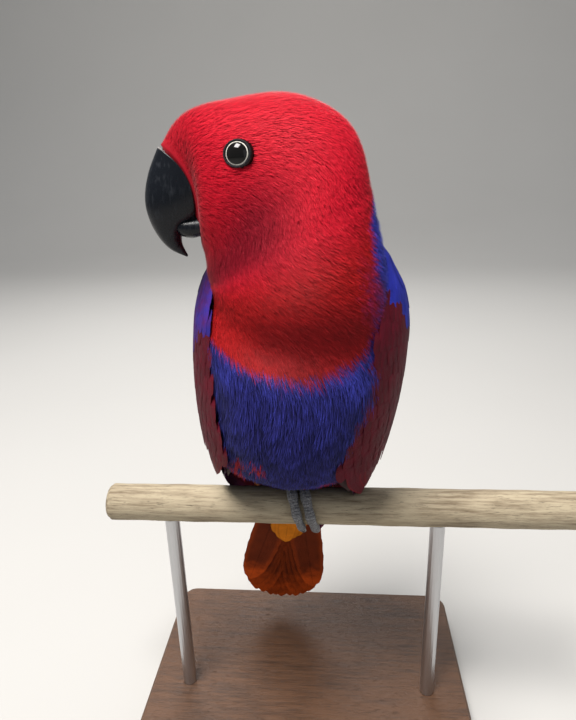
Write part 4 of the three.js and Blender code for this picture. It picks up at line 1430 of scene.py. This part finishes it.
class PARROT_OT_feet(bpy.types.Operator):
    """Builds the feet's toes and shanks, and the claws"""

    bl_idname = "parrot.feet"
    bl_label = "Feet"

    def execute(self, context):
        skin, horn = foot_material(), claw_material()
        for name, foot in FEET.items():
            tubes = [toe_part(foot, toe) for toe in TOES.values()] + [shank_part(foot)]
            parts = [closed_loft(on_foot(foot, rings)) for rings in tubes]
            points, faces, _, uv = join([(p, f, {}, u) for p, f, u in parts])
            mesh = new_mesh(f"toes_{name}", points, faces, corner_uv=uv)
            add_piece(f"toes_{name}", mesh, skin, (f"foot_{name}",))
            for key, toe in TOES.items():
                label = f"talon_{name}_{key}"
                mesh = new_mesh(label, *closed_loft(on_foot(foot, claw_part(foot, toe))))
                add_piece(label, mesh, horn, (f"claw_{name}_{key}",))
        return {"FINISHED"}


# Perch and stand


def wood_material(name, pale, dark, axis, roughness):
    """Grain stretched along one axis, with fine cracks and blotches of wear."""
    graph = Graph(name)
    stretch = [9.0, 9.0, 9.0]
    stretch[axis] = 0.7
    grain = graph.noise(graph.place(*stretch), 60.0, 6.0, 0.65)
    fine = graph.noise(graph.place(*stretch), 260.0, 5.0, 0.7)
    blotch = graph.noise(graph.place(), 22.0, 3.0)
    crack = 1.0 - fine.ramp(0.34, 0.42)
    tint = graph.mix(dark, pale, (grain * 0.75 + blotch * 0.4).ramp(0.38, 0.68))
    tint = graph.mix(tint, graph.scaled(dark, 0.35), crack * 0.7)
    graph.bump(grain * 0.6 + fine * 0.8 - crack * 0.6, 0.5, 0.0006)
    return graph.paint(Base_Color=tint, Roughness=roughness + grain * 0.2)


def darker(tint):
    """A colour at under half its strength, for a wood's late grain."""
    return tuple(0.45 * part for part in tint)


def perch_rings():
    """The perch: circles along it with shallow dents by two sines, eased at the sawn ends."""
    low, high = PERCH_ENDS
    close = np.array([0, 0.7, 1.6])
    x = [low + close, np.linspace(low + 3, high - 3, 160), high - close[::-1]]
    x = np.concatenate(x)[:, None]
    spin = circle(96)[None, :]
    eased = 1.3 * (1 - smooth(np.minimum(x - low, high - x) / 1.8))
    dents = 0.10 * np.sin(x * 0.11 + 2 * spin) + 0.07 * np.sin(x * 0.31 - 3 * spin)
    radius = PERCH_RADIUS - 0.18 + dents - eased
    return np.stack(np.broadcast_arrays(x, radius * np.cos(spin), radius * np.sin(spin)), -1)


class PARROT_OT_perch(bpy.types.Operator):
    """Builds the weathered perch with its sawn ends"""

    bl_idname = "parrot.perch"
    bl_label = "Perch"

    def execute(self, context):
        tints = settings("parrot_wood")
        mesh = new_mesh("dowel", *closed_loft(perch_rings()))
        wood = wood_material("perch", tints.pale, tints.dark, 0, 0.7)
        add_piece("dowel", mesh, wood, ("perch",))
        return {"FINISHED"}


class PARROT_OT_stand(bpy.types.Operator):
    """Finishes the stand's base and rods, which keep their CAD shapes"""

    bl_idname = "parrot.stand"
    bl_label = "Stand"

    def execute(self, context):
        tints = settings("parrot_wood")
        board = wood_material("board", tints.board, darker(tints.board), 0, 0.38)
        steel = Graph("steel", Metallic=1.0)
        lines = steel.noise(steel.place(40.0, 40.0, 1.0), 120.0, 3.0)
        steel.bump(lines, 0.08, 0.0002)
        metal = steel.paint(
            Base_Color=steel.mix((0.42, 0.42, 0.43), (0.6, 0.6, 0.61), lines),
            Roughness=0.25 + lines * 0.15,
        )
        finish = {"stand_base": board, "stand_rod_left": metal, "stand_rod_right": metal}
        for node, material in finish.items():
            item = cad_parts[node]
            item.data.materials.clear()
            item.data.materials.append(material)
        return {"FINISHED"}


# Stage

# The floor, in millimetres: half width, front edge, flat run, radius of the bend up to the
# wall, height of the wall, and the share of the rows that are flat.
FLOOR = (3000, -2500, 3900, 900, 1600)
FLOOR_FLAT = 0.6
AIM = (0, 0, 0.25)
WHITE = (1, 1, 1)
# Each soft light: name, power, size, place, where it points, colour.
LIGHTS = (
    ("key", 40, 0.6, (-0.3, -0.42, 1.5), AIM, (1.0, 0.97, 0.94)),
    ("fill", 2.5, 1.2, (1.1, -0.8, 0.6), AIM, (0.93, 0.96, 1.0)),
    ("rim", 7, 0.7, (-0.2, 1.0, 1.0), AIM, WHITE),
    ("wall", 9, 2.0, (0.0, 0.7, 2.3), (0, 2.3, 0.9), WHITE),
)
SKY = (0.82, 0.86, 0.92, 1)
SKY_STRENGTH = 0.32
# The camera's directions to the right, up and back, its place in metres, and its focal length
# in pixels of a picture of this height.
CAMERA_RIGHT = (0.99648591, 0.07857458, -0.02901510)
CAMERA_UP = (0.00092258, 0.33608781, 0.94183020)
CAMERA_BACK = (0.08375553, -0.93854729, 0.33483427)
CAMERA_AT = (0.01850028, -0.26477770, 0.317)
FOCAL_PIXELS = 577.0
PICTURE_HEIGHT = 720.0
SENSOR = 36.0


def floor_points(rows):
    """A flat run, a quarter circle up and a wall, as wide all along."""
    half, front, run, radius, wall = FLOOR
    across = np.linspace(-half, half, 3)[None, :]
    share = np.linspace(0, 1, rows)[:, None]
    bend = np.maximum(share - FLOOR_FLAT, 0.0) / (1 - FLOOR_FLAT)
    y = front + run * np.minimum(share / FLOOR_FLAT, 1.0) + radius * np.sin(bend * np.pi / 2)
    z = radius * (1 - np.cos(bend * np.pi / 2)) + wall * np.maximum(bend - 0.9, 0) - LIFT
    return np.stack(np.broadcast_arrays(across, y, z), -1)


def aimed(name, data, right, over, back, place):
    """A light or camera at a place, looking against its back direction."""
    item = bpy.data.objects.new(name, data)
    bpy.context.scene.collection.objects.link(item)
    columns = np.array([right, over, back, place], float)
    item.matrix_world = Matrix([*columns.T.tolist(), [0, 0, 0, 1]])
    return item


class PARROT_OT_stage(bpy.types.Operator):
    """Builds the pale floor, the soft lights and the camera"""

    bl_idname = "parrot.stage"
    bl_label = "Stage"

    def execute(self, context):
        scene = context.scene
        tints = settings("parrot_wood")
        mesh = new_mesh("floor", floor_points(60), *grid_faces(60, 3))
        graph = Graph("floor", Roughness=0.85)
        soft = graph.noise(graph.place(), 3.0, 2.0)
        mesh.materials.append(graph.paint(Base_Color=graph.scaled(tints.floor, 0.97 + soft * 0.06)))
        floor = bpy.data.objects.new("floor", mesh)
        scene.collection.objects.link(floor)
        for name, power, reach, place, aim, tint in LIGHTS:
            data = bpy.data.lights.new(name, "AREA")
            data.energy, data.size, data.color = power, reach, tint
            back = unit(np.array(place) - np.array(aim))
            aimed(name, data, *turn_to(back), back, place)
        world = bpy.data.worlds.new("studio")
        world.use_nodes = True
        background = world.node_tree.nodes["Background"]
        background.inputs[0].default_value = SKY
        background.inputs[1].default_value = SKY_STRENGTH
        scene.world = world
        scene.view_settings.view_transform = "Standard"

        data = bpy.data.cameras.new("camera")
        data.sensor_width = SENSOR
        data.lens = FOCAL_PIXELS / PICTURE_HEIGHT * SENSOR
        data.clip_start = 0.01
        camera = aimed("camera", data, CAMERA_RIGHT, CAMERA_UP, CAMERA_BACK, CAMERA_AT)
        scene.camera = camera
        return {"FINISHED"}


# Add-on


class PARROT_PT_panel(bpy.types.Panel):
    """Sizes, colours and building steps of the parrot"""

    bl_idname = "PARROT_PT_panel"
    bl_label = "Perched Parrot"
    bl_space_type = "VIEW_3D"
    bl_region_type = "UI"
    bl_category = "Parrot"

    def draw(self, context):
        for name, group in GROUPS.items():
            box = self.layout.box()
            for key in group.__annotations__:
                box.prop(getattr(context.scene, name), key)
        for operator in OPERATORS:
            self.layout.operator(operator.bl_idname)


OPERATORS = (
    PARROT_OT_stage,
    PARROT_OT_skin,
    PARROT_OT_coat,
    PARROT_OT_eyes,
    PARROT_OT_bill,
    PARROT_OT_wings,
    PARROT_OT_tail,
    PARROT_OT_feet,
    PARROT_OT_perch,
    PARROT_OT_stand,
)


def register():
    """Registers the groups, operators and panel, and hangs the groups on the scene."""
    for item in (*GROUPS.values(), *OPERATORS, PARROT_PT_panel):
        bpy.utils.register_class(item)
    for name, group in GROUPS.items():
        setattr(bpy.types.Scene, name, PointerProperty(type=group))


def unregister():
    """Takes them away again, in the opposite order."""
    for name in GROUPS:
        delattr(bpy.types.Scene, name)
    for item in (PARROT_PT_panel, *reversed(OPERATORS), *GROUPS.values()):
        bpy.utils.unregister_class(item)


def main():
    """Builds every piece and the stage."""
    register()
    for operator in OPERATORS:
        getattr(bpy.ops.parrot, operator.bl_idname.split(".")[1])()


if __name__ == "__main__":
    main()
